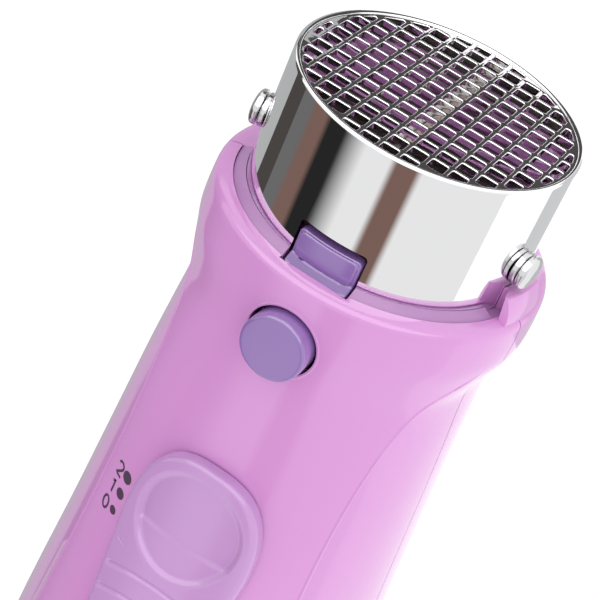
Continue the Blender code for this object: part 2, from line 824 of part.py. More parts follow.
def seat_ring():
    top = S_RING_TOP
    inner = BARREL_R + GAP
    profile = [
        (inner, top),
        (RING_R, top + RING_SLOPE),
        (RING_R, S_BARREL_END),
        (BARREL_R - BARREL_WALL - 1.2, S_BARREL_END + 2.0),
        (BARREL_R - BARREL_WALL - 1.2, S_BARREL_END + GAP),
        (inner, S_BARREL_END + GAP),
    ]
    ring = turned("barrel_seat_ring", profile, ("lavender", LAVENDER, 0.2), segments=48)
    half = max(CATCH_WIDTH / 2, BUTTON_R) + 1.0
    way = box("cut_ring_front", (-half, half), (top - 2, S_BARREL_END + 4), (0, BARREL_R + 6), cutter=True)
    cut(ring, way)
    seam = SEAM_LIFT + SEAM_GAP / 2
    reach = RING_R + 2
    under = S_SHOULDER + WALL + LIP_SLOPE + GAP
    cut(ring, box("cut_ring_rear", (-reach, reach), (top - 2, under), (-reach, seam), cutter=True))
    lug_z = (0, Z_LUG_FRONT + GAP)
    cut(ring, box("cut_ring_lug", (-reach, 2 - BARREL_R), (top - 2, S_SHOULDER + GAP), lug_z, cutter=True))
    return ring


# ---- release lever --------------------------------------------------------------------------------


def pivot_z():
    return Z_ARM + 0.6


PURPLE_PLASTIC = ("purple_plastic", PURPLE, 0.3)


def lever():
    """The catch, its arm and the pivot eye: one moulding that turns about the pin."""
    top = BARREL_R + CATCH_PROUD
    heel = S_CATCH_EDGE + CATCH_HEEL_LENGTH
    profile = [
        (Z_ARM, S_CATCH),
        (top - 0.35, S_CATCH),
        (top - 0.08, S_CATCH + 0.15),
        (top, S_CATCH + 0.5),
        (top, S_CATCH_EDGE - 0.25),
        (top + 0.12, S_CATCH_EDGE),
        (top + CATCH_HEEL_RISE, heel),
        (top + CATCH_HEEL_RISE, heel + 0.6),
        (Z_ARM, heel + 0.6),
    ]
    head = turned("lock_lever", profile, PURPLE_PLASTIC, segments=96)
    half = CATCH_WIDTH / 2
    keep = box("keep_catch_width", (-half, half), (S_CATCH - 4, heel + 4), (Z_ARM, BARREL_R + 9), cutter=True)
    combine(head, keep, "INTERSECT")
    arm = ARM_WIDTH / 2
    arm_top = Z_ARM + ARM_THICK
    add_arm = box("add_arm", (-arm, arm), (S_CATCH + 1.5, S_SPRING + 2.4), (Z_ARM, arm_top), cutter=True)
    z = pivot_z()
    eye = rod("add_eye", world(-arm, S_PIVOT, z), world(arm, S_PIVOT, z), PIVOT_EYE_R, cutter=True)
    bore = rod("cut_eye", world(-arm - 2, S_PIVOT, z), world(arm + 2, S_PIVOT, z), PIVOT_R + GAP, cutter=True)
    join(head, add_arm, eye)
    return cut(head, bore)


def release_button():
    bottom = Z_ARM + ARM_THICK + GAP
    top = front_line(S_BUTTON) + BUTTON_PROUD
    profile = [
        (0, bottom),
        (BUTTON_R, bottom),
        (BUTTON_R, top - 0.8),
        (BUTTON_R - 0.18, top - 0.35),
        (BUTTON_R - 0.6, top - 0.05),
        (BUTTON_R - 1.2, top),
        (0, top + 0.15),
    ]
    at = world(0, S_BUTTON, 0)
    return turned("release_button", profile, PURPLE_PLASTIC, segments=32, at=at, along=Vector((0, 0, 1)))


def lever_pin():
    reach = ARM_WIDTH / 2 + GAP + PIVOT_PLATE - 0.9
    steel = ("steel", STEEL, 0.3, 1.0)
    ends = world(-reach, S_PIVOT, pivot_z()), world(reach, S_PIVOT, pivot_z())
    return rod("lever_pivot_pin", *ends, PIVOT_R, steel, segments=16)


def lever_spring():
    low = Z_ARM + ARM_THICK + GAP + SPRING_WIRE
    high = front_line(S_SPRING) - WALL - GAP - SPRING_WIRE - 0.1
    steps = 10
    points = []
    for i in range(SPRING_TURNS * steps + 1):
        turn = math.tau * i / steps
        rise = low + (high - low) * i / (SPRING_TURNS * steps)
        points.append(world(SPRING_R * math.cos(turn), S_SPRING + SPRING_R * math.sin(turn), rise))
    return wire("lever_spring", points, SPRING_WIRE, ("steel", STEEL, 0.3, 1.0))


# ---- slide switch -----------------------------------------------------------------------------------


def knob_outline():
    """Half-width of the knob's outline at u, from its blunt nose to its tail."""
    steps = 11
    made = []
    for i in range(steps + 1):
        turn = math.radians(90 * i / steps)
        v, u = math.sin(turn) ** 0.8, 1 - math.cos(turn) ** 0.8
        made.append((KNOB_HALF * v, -KNOB_NOSE + KNOB_NOSE_LENGTH * u))
    made.append((KNOB_TAIL_HALF, KNOB_TAIL - 4))
    for i in range(1, 5):
        turn = math.radians(90 * i / 4)
        side = KNOB_TAIL_HALF * math.cos(turn) ** 0.6 if i < 4 else 0.0
        made.append((side, KNOB_TAIL - 4 + 4 * math.sin(turn)))
    return made


def sector(name, outer, inner, cutter=True, look=None):
    """A thick round skin whose axis runs down the slope, under the switch."""
    start, end = -KNOB_NOSE - 4, KNOB_TAIL + 4
    at = SLIDE_FRAME @ (Vector((0, 0, -KNOB_SECTION_R)) * MM)
    down = SLIDE_FRAME.to_3x3() @ Vector((0, 1, 0))
    return turned(name, tube_profile(outer, inner, start, end), look, cutter, segments=96, at=at, along=down)


def switch_knob():
    side = knob_outline()
    outline = side + [(-v, u) for v, u in reversed(side[1:-1])]
    bm = bmesh.new()
    low = [bm.verts.new(SLIDE_FRAME @ (Vector((v, u, -6)) * MM)) for v, u in outline]
    face = bm.faces.new(low)
    risen = bmesh.ops.extrude_face_region(bm, geom=[face])["geom"]
    lift = SLIDE_FRAME.to_3x3() @ Vector((0, 0, 14 * MM))
    bmesh.ops.translate(bm, vec=lift, verts=[v for v in risen if isinstance(v, bmesh.types.BMVert)])
    knob = finish("switch_knob", bm, ("switch_pink", (0.64, 0.38, 0.68), 0.3))
    skin = sector("keep_knob_skin", KNOB_SECTION_R + KNOB_RISE, KNOB_SECTION_R + GAP)
    combine(knob, skin, "INTERSECT")
    dish = SLIDE_FRAME @ Matrix.Translation(Vector((0, DISH_U, KNOB_RISE)) * MM)
    tip = dish.to_3x3() @ Matrix.Rotation(math.radians(7), 3, "X") @ Vector((0, 0, 1))
    start = dish.translation - tip * DISH_DEPTH * MM
    cut(knob, rod("cut_dish", start, start + tip * 6 * MM, DISH_R, cutter=True, segments=40))
    bm = bmesh.new()
    for i in range(4):
        u = GRIP_U + GRIP_STEP * i
        slide_box(bm, (-KNOB_HALF, KNOB_HALF), (u - 0.6, u + 0.6), (KNOB_RISE - 1.7, KNOB_RISE + 2))
    grooves = finish("cut_grip", bm, cutter=True, smooth=False)
    cut(knob, combine_skin(grooves))
    bm = bmesh.new()
    stem = STEM_SIZE / 2
    slide_box(bm, (-stem, stem), (-stem, stem), (-WALL - 2.8, KNOB_RISE - 1.2))
    return join(knob, finish("add_stem", bm, cutter=True, smooth=False))


def combine_skin(grooves):
    """Keeps the grip grooves to an even depth under the knob's round top."""
    skin = sector("keep_grip_depth", KNOB_SECTION_R + KNOB_RISE + 3, KNOB_SECTION_R + KNOB_RISE - 0.7)
    return combine(grooves, skin, "INTERSECT")


def switch_inside():
    half = CARRIER_SIZE / 2
    top = -WALL - 1.1
    bm = bmesh.new()
    slide_box(bm, (-half, half), (-half, half), (top - CARRIER_THICK, top))
    carrier = finish("switch_carrier", bm, ("black_plastic", BLACK, 0.5), smooth=False)
    hole = STEM_SIZE / 2 + GAP
    bm = bmesh.new()
    slide_box(bm, (-hole, hole), (-hole, hole), (top - 6, top + 4))
    cut(carrier, finish("cut_carrier", bm, cutter=True, smooth=False))
    base = top - CARRIER_THICK - GAP
    bm = bmesh.new()
    wide = SWITCH_BLOCK_WIDTH / 2
    slide_box(bm, (-wide, wide), (-half - SWITCH_TRAVEL, half + 3), (base - 3.2, base))
    block = finish("switch_block", bm, ("black_plastic", BLACK, 0.5), smooth=False)
    bevel(block, 0.4)
    return base - 1.6


# ---- heater, motor and fan ----------------------------------------------------------------------------


def heater():
    bore = SLEEVE_R - SLEEVE_WALL
    mica = ("mica", MICA, 0.5)
    turned("heat_shield_sleeve", tube_profile(SLEEVE_R, bore, S_SLEEVE, S_SLEEVE_END), mica)
    liner = BARREL_R - BARREL_WALL - GAP
    liner_profile = [
        (liner, S_LINER + 0.4),
        (liner, S_LINER_END - 3.4),
        (liner - LINER_WALL, S_LINER_END - 2.2),
        (liner - LINER_WALL, S_LINER_END),
        (SLEEVE_R + GAP, S_LINER_END),
        (SLEEVE_R + GAP, S_LINER_END - 3.0),
        (liner - LINER_WALL, S_LINER_END - 4.6),
        (liner - LINER_WALL, S_LINER + 0.4),
        (liner - LINER_WALL + 0.4, S_LINER),
        (liner - 0.4, S_LINER),
    ]
    turned("outlet_liner", liner_profile, ("pink_shell", PINK, 0.18))
    coil_r = bore - 1.9
    reach = coil_r - COIL_WIRE - 0.65
    half = BOARD_THICK / 2
    slot = half + GAP
    lap = (S_BOARD + S_BOARD_END) / 2
    tall = box("mica_board_tall", (-half, half), (S_BOARD, S_BOARD_END), (-reach, reach), mica)
    cut(tall, box("cut_lap_tall", (-3, 3), (lap - GAP, S_BOARD_END + 3), (-slot, slot), cutter=True))
    wide = box("mica_board_wide", (-reach, reach), (S_BOARD, S_BOARD_END), (-half, half), mica)
    cut(wide, box("cut_lap_wide", (-slot, slot), (S_BOARD - 3, lap + GAP), (-3, 3), cutter=True))
    middle_s = (S_BOARD + S_BOARD_END) / 2
    for name, start, end in (("front", S_BOARD + 6, middle_s - 2), ("rear", middle_s + 2, S_BOARD_END - 2)):
        steps = 10
        points = []
        for i in range(COIL_TURNS * steps + 1):
            turn = math.tau * i / steps
            s = start + (end - start) * i / (COIL_TURNS * steps)
            points.append(world(coil_r * math.cos(turn), s, coil_r * math.sin(turn)))
        wire("heater_coil_" + name, points, COIL_WIRE, ("nichrome", NICHROME, 0.4, 1.0))
    disc = S_BOARD_END + 0.8
    turned("heater_end_disc", tube_profile(bore - GAP, 5.0, disc, disc + DISC_THICK), mica)
    box("thermostat", (1.2, 7.2), (28, 37), (1.2, 5.2), ("nylon", NYLON, 0.5), soften=0.4)
    rod("thermal_fuse", world(-4, 28, 4), world(-4, 40, 4), 1.5, ("steel", STEEL, 0.3, 1.0), segments=16)


def duct():
    """The fan duct: socket for the sleeve, cone, fan bore, and the vanes that hold the motor's cup."""
    socket = SLEEVE_R + GAP
    bore = DUCT_R - DUCT_WALL
    cone = S_SLEEVE_END + GAP
    profile = [
        (socket + DUCT_WALL, S_DUCT),
        (socket + DUCT_WALL, cone),
        (DUCT_R, cone + 6),
        (DUCT_R, S_DUCT_END),
        (bore, S_DUCT_END),
        (bore, cone + 6),
        (socket, cone),
        (socket, S_DUCT),
    ]
    body = turned("fan_duct", profile, ("nylon", NYLON, 0.5))
    cup = MOTOR_R + GAP
    cup_end = S_MOTOR + MOTOR_LENGTH - 2
    ring = turned("add_motor_cup", tube_profile(cup + 1.0, cup, S_MOTOR + 4, cup_end), cutter=True)
    bm = bmesh.new()
    for i in range(VANES):
        turn = math.tau * i / VANES
        out = (cup + bore) / 2 + 0.5
        size = Vector((0.9, cup_end - S_MOTOR - 6, bore - cup)) * MM
        centre = world(out * math.sin(turn), (S_MOTOR + 4 + cup_end) / 2, out * math.cos(turn))
        matrix = Matrix.Translation(centre) @ Matrix.Rotation(turn, 4, "Y") @ Matrix.Diagonal((*size, 1.0))
        bmesh.ops.create_cube(bm, size=1.0, matrix=matrix)
    return join(body, ring, finish("add_vanes", bm, cutter=True, smooth=False))


def motor():
    steel = ("steel", STEEL, 0.3, 1.0)
    end = S_MOTOR + MOTOR_LENGTH
    inner = MOTOR_R - MOTOR_WALL
    hole = BEARING_R + GAP
    profile = [
        (hole, S_MOTOR),
        (MOTOR_R - 0.8, S_MOTOR),
        (MOTOR_R, S_MOTOR + 0.8),
        (MOTOR_R, end),
        (inner, end),
        (inner, S_MOTOR + 1.2),
        (hole, S_MOTOR + 1.2),
    ]
    turned("motor_can", profile, steel)
    cap = tube_profile(MOTOR_R, hole, end + GAP, end + GAP + MOTOR_CAP)
    turned("motor_end_cap", cap, ("black_plastic", BLACK, 0.5))
    bush = SHAFT_R + GAP
    brass = ("brass", COPPER, 0.4, 1.0)
    front_bush = tube_profile(BEARING_R, bush, S_MOTOR - 0.6, S_MOTOR + 2.4)
    rear_bush = tube_profile(BEARING_R, bush, end, end + GAP + MOTOR_CAP)
    turned("motor_bearing_front", front_bush, brass, segments=FINE)
    turned("motor_bearing_rear", rear_bush, brass, segments=FINE)
    shaft_end = S_FAN + FAN_DEPTH + 1
    shaft = [(0, S_MOTOR - 2), (SHAFT_R, S_MOTOR - 2), (SHAFT_R, shaft_end), (0, shaft_end)]
    turned("motor_shaft", shaft, steel, segments=FINE)
    turned("motor_armature", tube_profile(ARMATURE_R, bush, S_MOTOR + 4, end - 6), ("copper", COPPER, 0.4, 1.0))
    rings = tube_profile(3.6, bush, end - 5.4, end - 1)
    turned("commutator", rings, ("copper", COPPER, 0.4, 1.0), segments=FINE)


def fan():
    bush = SHAFT_R + GAP
    hub = [
        (bush, S_FAN),
        (FAN_HUB_R, S_FAN),
        (FAN_HUB_R, S_FAN + FAN_DEPTH * 0.72),
        (FAN_HUB_R * 0.75, S_FAN + FAN_DEPTH * 0.92),
        (FAN_HUB_R * 0.45, S_FAN + FAN_DEPTH),
        (bush, S_FAN + FAN_DEPTH),
    ]
    wheel = turned("fan_wheel", hub, ("black_plastic", BLACK, 0.5), segments=28)
    tip = DUCT_R - DUCT_WALL - FAN_GAP
    root = FAN_HUB_R - 0.8
    for i in range(FAN_BLADES):
        turn = math.tau * i / FAN_BLADES
        bm = bmesh.new()
        size = Vector((0.9, FAN_DEPTH * 0.68, tip - root)) * MM
        out = (tip + root) / 2
        centre = world(out * math.sin(turn), S_FAN + FAN_DEPTH * 0.38, out * math.cos(turn))
        pitch = Matrix.Rotation(math.radians(38), 4, "Z")
        matrix = Matrix.Translation(centre) @ Matrix.Rotation(turn, 4, "Y") @ pitch
        bmesh.ops.create_cube(bm, size=1.0, matrix=matrix @ Matrix.Diagonal((*size, 1.0)))
        join(wheel, finish(f"add_blade_{i}", bm, cutter=True, smooth=False))
    low, high = S_FAN - 3, S_FAN + FAN_DEPTH + 3
    round_tip = turned("keep_fan_round", [(0, low), (tip, low), (tip, high), (0, high)], cutter=True)
    combine(wheel, round_tip, "INTERSECT")
    way = turned("cut_fan_bore", [(0, low), (bush, low), (bush, high), (0, high)], cutter=True, segments=FINE)
    return cut(wheel, way)


# ---- electronics and tail -------------------------------------------------------------------------------


def circuit(terminal_drop):
    start, end = S_BOARD_POST - 14, min(S_BOARD_POST + 16, S_SCREW_REAR - BOSS_R - GAP)
    green = ("board_green", (0.05, 0.22, 0.10), 0.4)
    box("circuit_board", (-BOARD_HALF, BOARD_HALF), (start, end), (Z_CIRCUIT, Z_CIRCUIT + BOARD_FR4), green)
    z = Z_CIRCUIT - 3.9
    rod("capacitor", world(-5, start + 10, z), world(7, start + 10, z), 3.5, ("nylon", NYLON, 0.5))
    black = ("black_plastic", BLACK, 0.5)
    box("rectifier", (-6, 2), (start + 17, start + 23), (Z_CIRCUIT - 3.4, Z_CIRCUIT - GAP), black)
    block_end = CARRIER_SIZE / 2 + 3 + GAP + 0.6
    for name, x, look in (
        ("a", 3.0, ("wire_blue", (0.05, 0.12, 0.45), 0.45)),
        ("b", -3.0, ("wire_brown", (0.22, 0.10, 0.05), 0.45)),
    ):
        foot = SLIDE_FRAME @ (Vector((x, block_end, terminal_drop)) * MM)
        over = DUCT_R + 3.5
        corners = [foot, world(x, S_STEM + 20, over + 0.6), world(x, S_DUCT_END - 8, over)]
        corners.append(world(x, S_DUCT_END + 1, over - 2.5))
        corners.append(world(x, start + 2, Z_CIRCUIT + 4.5))
        corners.append(world(x, start + 6, Z_CIRCUIT + BOARD_FR4 + GAP + 0.8))
        wire("switch_wire_" + name, smooth_path(corners, 4), 0.8, look)
        corners = [world(x * 0.5, S_CAP_END - 4.6 - CAP_WALL, SEAM_LIFT + 0.2)]
        corners.append(world(x * 0.8, S_SHELL_END - 8, SEAM_LIFT + 1))
        corners += [world(x, S_SHELL_END - 20, SEAM_LIFT + 5), world(x, end + 1.5, Z_CIRCUIT + 0.8)]
        wire("mains_wire_" + name, smooth_path(corners, 4), 0.8, look)


def hole_row(s, radius):
    return (s, radius, SEAM_LIFT + radius, radius - SEAM_LIFT, SEAM_LIFT, AXIS_Z, 0.0)


def tail_row(s, inset=0.0, shrink=0.0):
    depth = half_width(S_SHELL_END) - shrink - inset
    front = front_line(S_SHELL_END) - shrink - inset
    rear = rear_line(S_SHELL_END) - shrink - inset
    crease = CREASE_DEPTH * (1 - ease(shrink / 2.5))
    return (s, depth, front, rear, SEAM_LIFT, AXIS_Z - inset, crease)


def tail_cap():
    start = S_SHELL_END + GAP
    hole = GLAND_R + GAP
    end = S_CAP_END
    inside = end - CAP_WALL
    rows = [tail_row(start, 0, 0.0), tail_row(start + 3, 0, 0.5), tail_row(end - 3.6, 0, 1.5)]
    rows += [tail_row(end - 1.8, 0, 2.8), tail_row(end - 0.6, 0, 4.4), tail_row(end, 0, 6.4)]
    rows += [hole_row(end, hole), hole_row(inside, hole)]
    rows += [tail_row(inside, CAP_WALL, 4.6), tail_row(end - 4.2, CAP_WALL, 1.7)]
    rows.append(tail_row(start, CAP_WALL, 0.0))
    cap = loft("tail_cap", rows, ("pink_shell", PINK, 0.18))
    bm = bmesh.new()
    inner, outer = GLAND_FLANGE_R + 1.3, half_width(S_SHELL_END) - 7.6
    for i in range(INLET_SLOTS):
        turn = math.tau * (i + 0.5) / INLET_SLOTS
        out = (inner + outer) / 2
        size = Vector((1.7, CAP_WALL + 3, outer - inner)) * MM
        centre = world(out * math.sin(turn), end - CAP_WALL / 2, SEAM_LIFT + out * math.cos(turn))
        matrix = Matrix.Translation(centre) @ Matrix.Rotation(turn, 4, "Y") @ Matrix.Diagonal((*size, 1.0))
        bmesh.ops.create_cube(bm, size=1.0, matrix=matrix)
    return cut(cap, finish("cut_inlet_slots", bm, cutter=True, smooth=False))


def gland():
    axis = world(0, 0, SEAM_LIFT)
    inside = S_CAP_END - CAP_WALL
    flange = inside - GAP
    profile = [
        (GLAND_BORE_R, flange - 1.6),
        (GLAND_FLANGE_R, flange - 1.6),
        (GLAND_FLANGE_R, flange),
        (GLAND_R, flange),
        (GLAND_R, S_CAP_END + 2.5),
        (GLAND_R * 0.8, S_CAP_END + GLAND_STICKOUT - 1.0),
        (GLAND_R * 0.7, TOTAL),
        (GLAND_BORE_R, TOTAL),
    ]
    turned("cord_gland", profile, ("rubber_dark", (0.08, 0.07, 0.09), 0.6), segments=32, at=axis)
    plate = flange - 1.6 - GAP
    washer = tube_profile(GLAND_FLANGE_R + 1.2, GLAND_BORE_R + 1.2, plate - 1.4, plate)
    turned("gland_retainer", washer, ("nylon", NYLON, 0.5), segments=32, at=axis)
    filter_end = plate - 1.4 - GAP
    outer = min(half_width(S_SHELL_END), front_line(S_SHELL_END) - SEAM_LIFT) - WALL - 3.4
    mesh = tube_profile(outer, GLAND_FLANGE_R - 1, filter_end - 1.2, filter_end)
    turned("dust_filter", mesh, ("filter_grey", (0.2, 0.2, 0.2), 0.8), segments=32, at=axis)


front_shell()
rear_shell()
screws()
barrel()
studs()
grille()
seat_ring()
lever()
release_button()
lever_pin()
lever_spring()
switch_knob()
terminals = switch_inside()
heater()
duct()
motor()
fan()
circuit(terminals)
tail_cap()
gland()
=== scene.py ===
"""The looks of a hot-air styler base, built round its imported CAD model.

Metres, +Z up, outlet towards -Y. Stations S_... run from the outlet rim towards the tail and heights
are measured from the barrel's axis, both in millimetres, as in the CAD.
"""

import json
import math

import bmesh
import bpy
import numpy as np
from mathutils import Matrix, Vector

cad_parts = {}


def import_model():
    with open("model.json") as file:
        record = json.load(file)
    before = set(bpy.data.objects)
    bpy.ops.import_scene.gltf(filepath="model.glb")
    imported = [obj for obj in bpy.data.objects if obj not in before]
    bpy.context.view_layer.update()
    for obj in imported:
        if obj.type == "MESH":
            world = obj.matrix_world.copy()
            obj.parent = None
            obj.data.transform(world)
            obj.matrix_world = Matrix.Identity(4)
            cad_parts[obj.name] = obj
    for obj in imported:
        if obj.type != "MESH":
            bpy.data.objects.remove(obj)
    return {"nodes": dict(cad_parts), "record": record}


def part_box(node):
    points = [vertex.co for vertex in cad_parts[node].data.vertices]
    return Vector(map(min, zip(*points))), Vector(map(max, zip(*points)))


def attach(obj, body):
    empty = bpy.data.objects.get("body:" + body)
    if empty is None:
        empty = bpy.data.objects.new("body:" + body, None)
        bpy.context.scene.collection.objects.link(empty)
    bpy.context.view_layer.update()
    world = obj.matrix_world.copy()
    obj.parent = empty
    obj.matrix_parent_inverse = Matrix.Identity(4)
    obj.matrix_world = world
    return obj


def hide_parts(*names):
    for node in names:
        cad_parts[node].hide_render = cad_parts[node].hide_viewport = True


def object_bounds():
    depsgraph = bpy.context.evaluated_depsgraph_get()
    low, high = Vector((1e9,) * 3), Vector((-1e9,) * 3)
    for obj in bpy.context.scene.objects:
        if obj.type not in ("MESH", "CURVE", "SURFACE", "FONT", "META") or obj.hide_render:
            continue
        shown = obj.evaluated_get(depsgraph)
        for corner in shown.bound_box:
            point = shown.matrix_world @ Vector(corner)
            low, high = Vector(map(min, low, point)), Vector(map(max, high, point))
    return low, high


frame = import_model()
CAD_LOW, CAD_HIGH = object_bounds()

MM = 0.001
BARREL_LOW, BARREL_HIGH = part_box("barrel")
RIM_Y = BARREL_LOW.y
AXIS_HEIGHT = (BARREL_LOW.z + BARREL_HIGH.z) / 2
AXIS_Z = AXIS_HEIGHT / MM
GAP = 0.3

# Barrel, grille and ring
BARREL_R = 21.0
BARREL_WALL = 0.7
S_BARREL_END = 30.0
S_GRILLE = 0.32
GRILLE_DEPTH = 0.95
GRILLE_R = 20.12
GRILLE_OPEN_R = 19.72
GRILLE_PITCH = 3.05
GRILLE_BAR = 0.6
GRILLE_CROSS_PITCH = 2.95
GRILLE_CROSS = 0.5
GRILLE_ROUND = 0.16
RING_R = 22.6
S_RING_TOP = 20.1
RING_SLOPE = 0.9

# Handle surface
WALL = 2.0
S_SHOULDER = 20.8
SHOULDER_EXTRA = 4.2
S_WAIST = 36.5
WAIST_EXTRA = 2.25
S_BELLY = 128.0
BELLY_EXTRA = 8.1
TAIL_EXTRA = 3.2
REAR_EXTRA = 4.0
REAR_FLAT = 0.75
SEAM_LIFT = 4.0
SEAM_GAP = 0.2
FRONT_AT_SLIDE = 5.0
S_SLIDE_START = 50.0
FRONT_SLOPE = 0.117
S_SLIDE_END = 102.0
CREASE_DEPTH = 0.8
S_CREASE = 30.0
S_SHELL_END = 190.0
S_CAP_END = 200.0
CAP_WALL = 2.0

# Controls
CATCH_WIDTH = 9.8
S_NOTCH = 15.2
S_CATCH = 16.4
S_CATCH_EDGE = 20.5
CATCH_PROUD = 0.3
CATCH_HEEL_RISE = 1.3
Z_ARM = 19.0
S_BUTTON = 31.0
BUTTON_R = 4.95
BUTTON_GAP = 0.45
BUTTON_PROUD = 2.5
S_PIVOT = 46.0
S_SPRING = 51.6
S_STUD = 14.0
STUD_ANGLE = 10.2
S_LUG = 17.2
S_STEM = 84.0
KNOB_NOSE = 30.4
KNOB_NOSE_LENGTH = 15.0
KNOB_TAIL = 14.0
KNOB_HALF = 10.6
KNOB_TAIL_HALF = 8.8
KNOB_RISE = 2.6
KNOB_SECTION_R = 26.0
STEM_SIZE = 5.0
SWITCH_TRAVEL = 6.2
GRILLE_SHIFT = (0.3 + GRILLE_PITCH / 2, GRILLE_CROSS_PITCH / 2)  # centre of one of its cells
GLAND_R = 5.4


def world(x, station, z):
    """A point in metres from a side distance, a station and a height over the barrel's axis."""
    return Vector((x * MM, RIM_Y + station * MM, AXIS_HEIGHT + z * MM))


# ---- camera ----

CAMERA_PLACE = Vector((-0.05436, -0.22303, 0.25120))
CAMERA_AZIMUTH = -20.81  # degrees from the outlet's side, towards +X
CAMERA_ELEVATION = 52.87
CAMERA_ROLL = -130.48


def make_camera():
    data = bpy.data.cameras.new("camera")
    data.lens = 115.1
    data.sensor_width = 36.0
    data.clip_start = 0.01
    data.clip_end = 20.0
    camera = bpy.data.objects.new("camera", data)
    bpy.context.scene.collection.objects.link(camera)
    turn = Matrix.Rotation(math.radians(CAMERA_AZIMUTH), 4, "Z")
    tilt = Matrix.Rotation(math.radians(90 - CAMERA_ELEVATION), 4, "X")
    roll = Matrix.Rotation(math.radians(CAMERA_ROLL), 4, "Z")
    camera.matrix_world = Matrix.Translation(CAMERA_PLACE) @ turn @ tilt @ roll
    bpy.context.scene.camera = camera


# ---- materials ----


class Nodes:
    """A material's node tree with its Principled shader, and short ways to add to it."""

    def __init__(self, name):
        self.material = bpy.data.materials.new(name)
        self.material.use_nodes = True
        self.tree = self.material.node_tree
        self.shader = self.tree.nodes["Principled BSDF"]
        self.place = self.add("ShaderNodeTexCoord").outputs["Object"]

    def add(self, kind, **settings):
        node = self.tree.nodes.new(kind)
        for name, value in settings.items():
            setattr(node, name, value)
        return node

    def link(self, start, end):
        self.tree.links.new(start, end)

    def noise(self, scale, detail):
        made = self.add("ShaderNodeTexNoise")
        made.inputs["Scale"].default_value = scale
        made.inputs["Detail"].default_value = detail
        self.link(self.place, made.inputs["Vector"])
        return made.outputs["Fac"]

    def ramp(self, value, stops):
        made = self.add("ShaderNodeValToRGB")
        elements = made.color_ramp.elements
        while len(elements) < len(stops):
            elements.new(0.5)
        for element, (place, colour) in zip(elements, stops):
            element.position = place
            element.color = (*colour, 1.0)
        self.link(value, made.inputs["Fac"])
        return made.outputs["Color"]

    def scaled(self, value, low, high, from_low=0.3, from_high=0.7):
        made = self.add("ShaderNodeMapRange")
        limits = {"From Min": from_low, "From Max": from_high, "To Min": low, "To Max": high}
        for name, number in limits.items():
            made.inputs[name].default_value = number
        self.link(value, made.inputs["Value"])
        return made.outputs["Result"]

    def bump(self, height, distance):
        made = self.add("ShaderNodeBump")
        made.inputs["Distance"].default_value = distance
        made.inputs["Strength"].default_value = 1.0
        self.link(height, made.inputs["Height"])
        self.link(made.outputs["Normal"], self.shader.inputs["Normal"])

    def glow(self, strength):
        """Makes the finish an even light, and gives back its colour socket."""
        self.tree.nodes.remove(self.shader)
        light = self.add("ShaderNodeEmission")
        light.inputs["Strength"].default_value = strength
        out = self.tree.nodes["Material Output"]
        self.link(light.outputs["Emission"], out.inputs["Surface"])
        return light.inputs["Color"]


def shade(colour, factor):
    return tuple(min(1.0, c * factor) for c in colour)


def surface(
    name, colour, roughness, metallic=0.0, vary=0.03, grain=900.0, bump=0.00001, spread=0.02, **sockets
):
    """A finish with slightly uneven colour, uneven gloss and a fine grain."""
    nodes = Nodes(name)
    broad = nodes.noise(grain / 12, detail=4.0)
    tone = nodes.ramp(broad, [(0.3, shade(colour, 1 - vary)), (0.7, shade(colour, 1 + vary))])
    nodes.link(tone, nodes.shader.inputs["Base Color"])
    fine = nodes.noise(grain, detail=2.0)
    uneven = nodes.scaled(fine, max(0.0, roughness - spread), roughness + spread)
    nodes.link(uneven, nodes.shader.inputs["Roughness"])
    nodes.shader.inputs["Metallic"].default_value = metallic
    for socket, value in sockets.items():
        nodes.shader.inputs[socket.replace("_", " ")].default_value = value
    if bump:
        nodes.bump(fine, bump)
    return nodes.material


PINK = (0.665, 0.295, 0.65)
LAVENDER = (0.44, 0.225, 0.47)
PURPLE = (0.265, 0.145, 0.43)
SWITCH_PINK = (0.54, 0.29, 0.60)
CHROME = (0.92, 0.92, 0.93)
GLOSS = {"Coat_Weight": 0.7, "Coat_Roughness": 0.03}
SOFT_GLOSS = {"Coat_Weight": 0.5, "Coat_Roughness": 0.12}
HIGH_GLOSS = {"Coat_Weight": 1.0, "Coat_Roughness": 0.05, "Coat_IOR": 1.6}
LOOKS = {
    "pink_shell": surface("pink_gloss", PINK, 0.16, vary=0.012, grain=500, bump=0.0, **GLOSS),
    "lavender": surface("lavender_gloss", LAVENDER, 0.25, vary=0.02, grain=500, bump=0.0),
    "purple": surface("purple_gloss", PURPLE, 0.2, vary=0.02, grain=900, bump=0.0, **HIGH_GLOSS),
    "switch_pink": surface("switch_satin", SWITCH_PINK, 0.22, vary=0.012, bump=0.0, **SOFT_GLOSS),
    "chrome": surface("chrome_bright", CHROME, 0.03, 1.0, 0.004, grain=1200, bump=0.0, spread=0.01),
    "steel": surface("steel_plain", (0.55, 0.55, 0.57), 0.32, 1.0, vary=0.05, grain=1500),
    "mica": surface("mica_board", (0.13, 0.118, 0.10), 0.35, vary=0.12, grain=1800),
    "nylon": surface("nylon_natural", (0.80, 0.79, 0.73), 0.45, vary=0.02),
    "black": surface("black_plastic", (0.03, 0.03, 0.035), 0.45, vary=0.1),
    "copper": surface("copper_winding", (0.66, 0.33, 0.18), 0.35, 1.0, vary=0.1, grain=2500),
    "nichrome": surface("nichrome_wire", (0.45, 0.43, 0.42), 0.35, 1.0, vary=0.08, grain=3000),
    "board_green": surface("board_green", (0.05, 0.22, 0.10), 0.35, vary=0.1, grain=2000),
    "wire_blue": surface("wire_blue", (0.05, 0.12, 0.45), 0.45, vary=0.04),
    "wire_brown": surface("wire_brown", (0.22, 0.10, 0.05), 0.45, vary=0.04),
    "rubber_dark": surface("rubber_dark", (0.06, 0.05, 0.07), 0.55, vary=0.06, bump=0.00002),
    "filter_grey": surface("filter_mesh", (0.20, 0.20, 0.20), 0.85, vary=0.3, grain=4000, bump=0.0001),
}
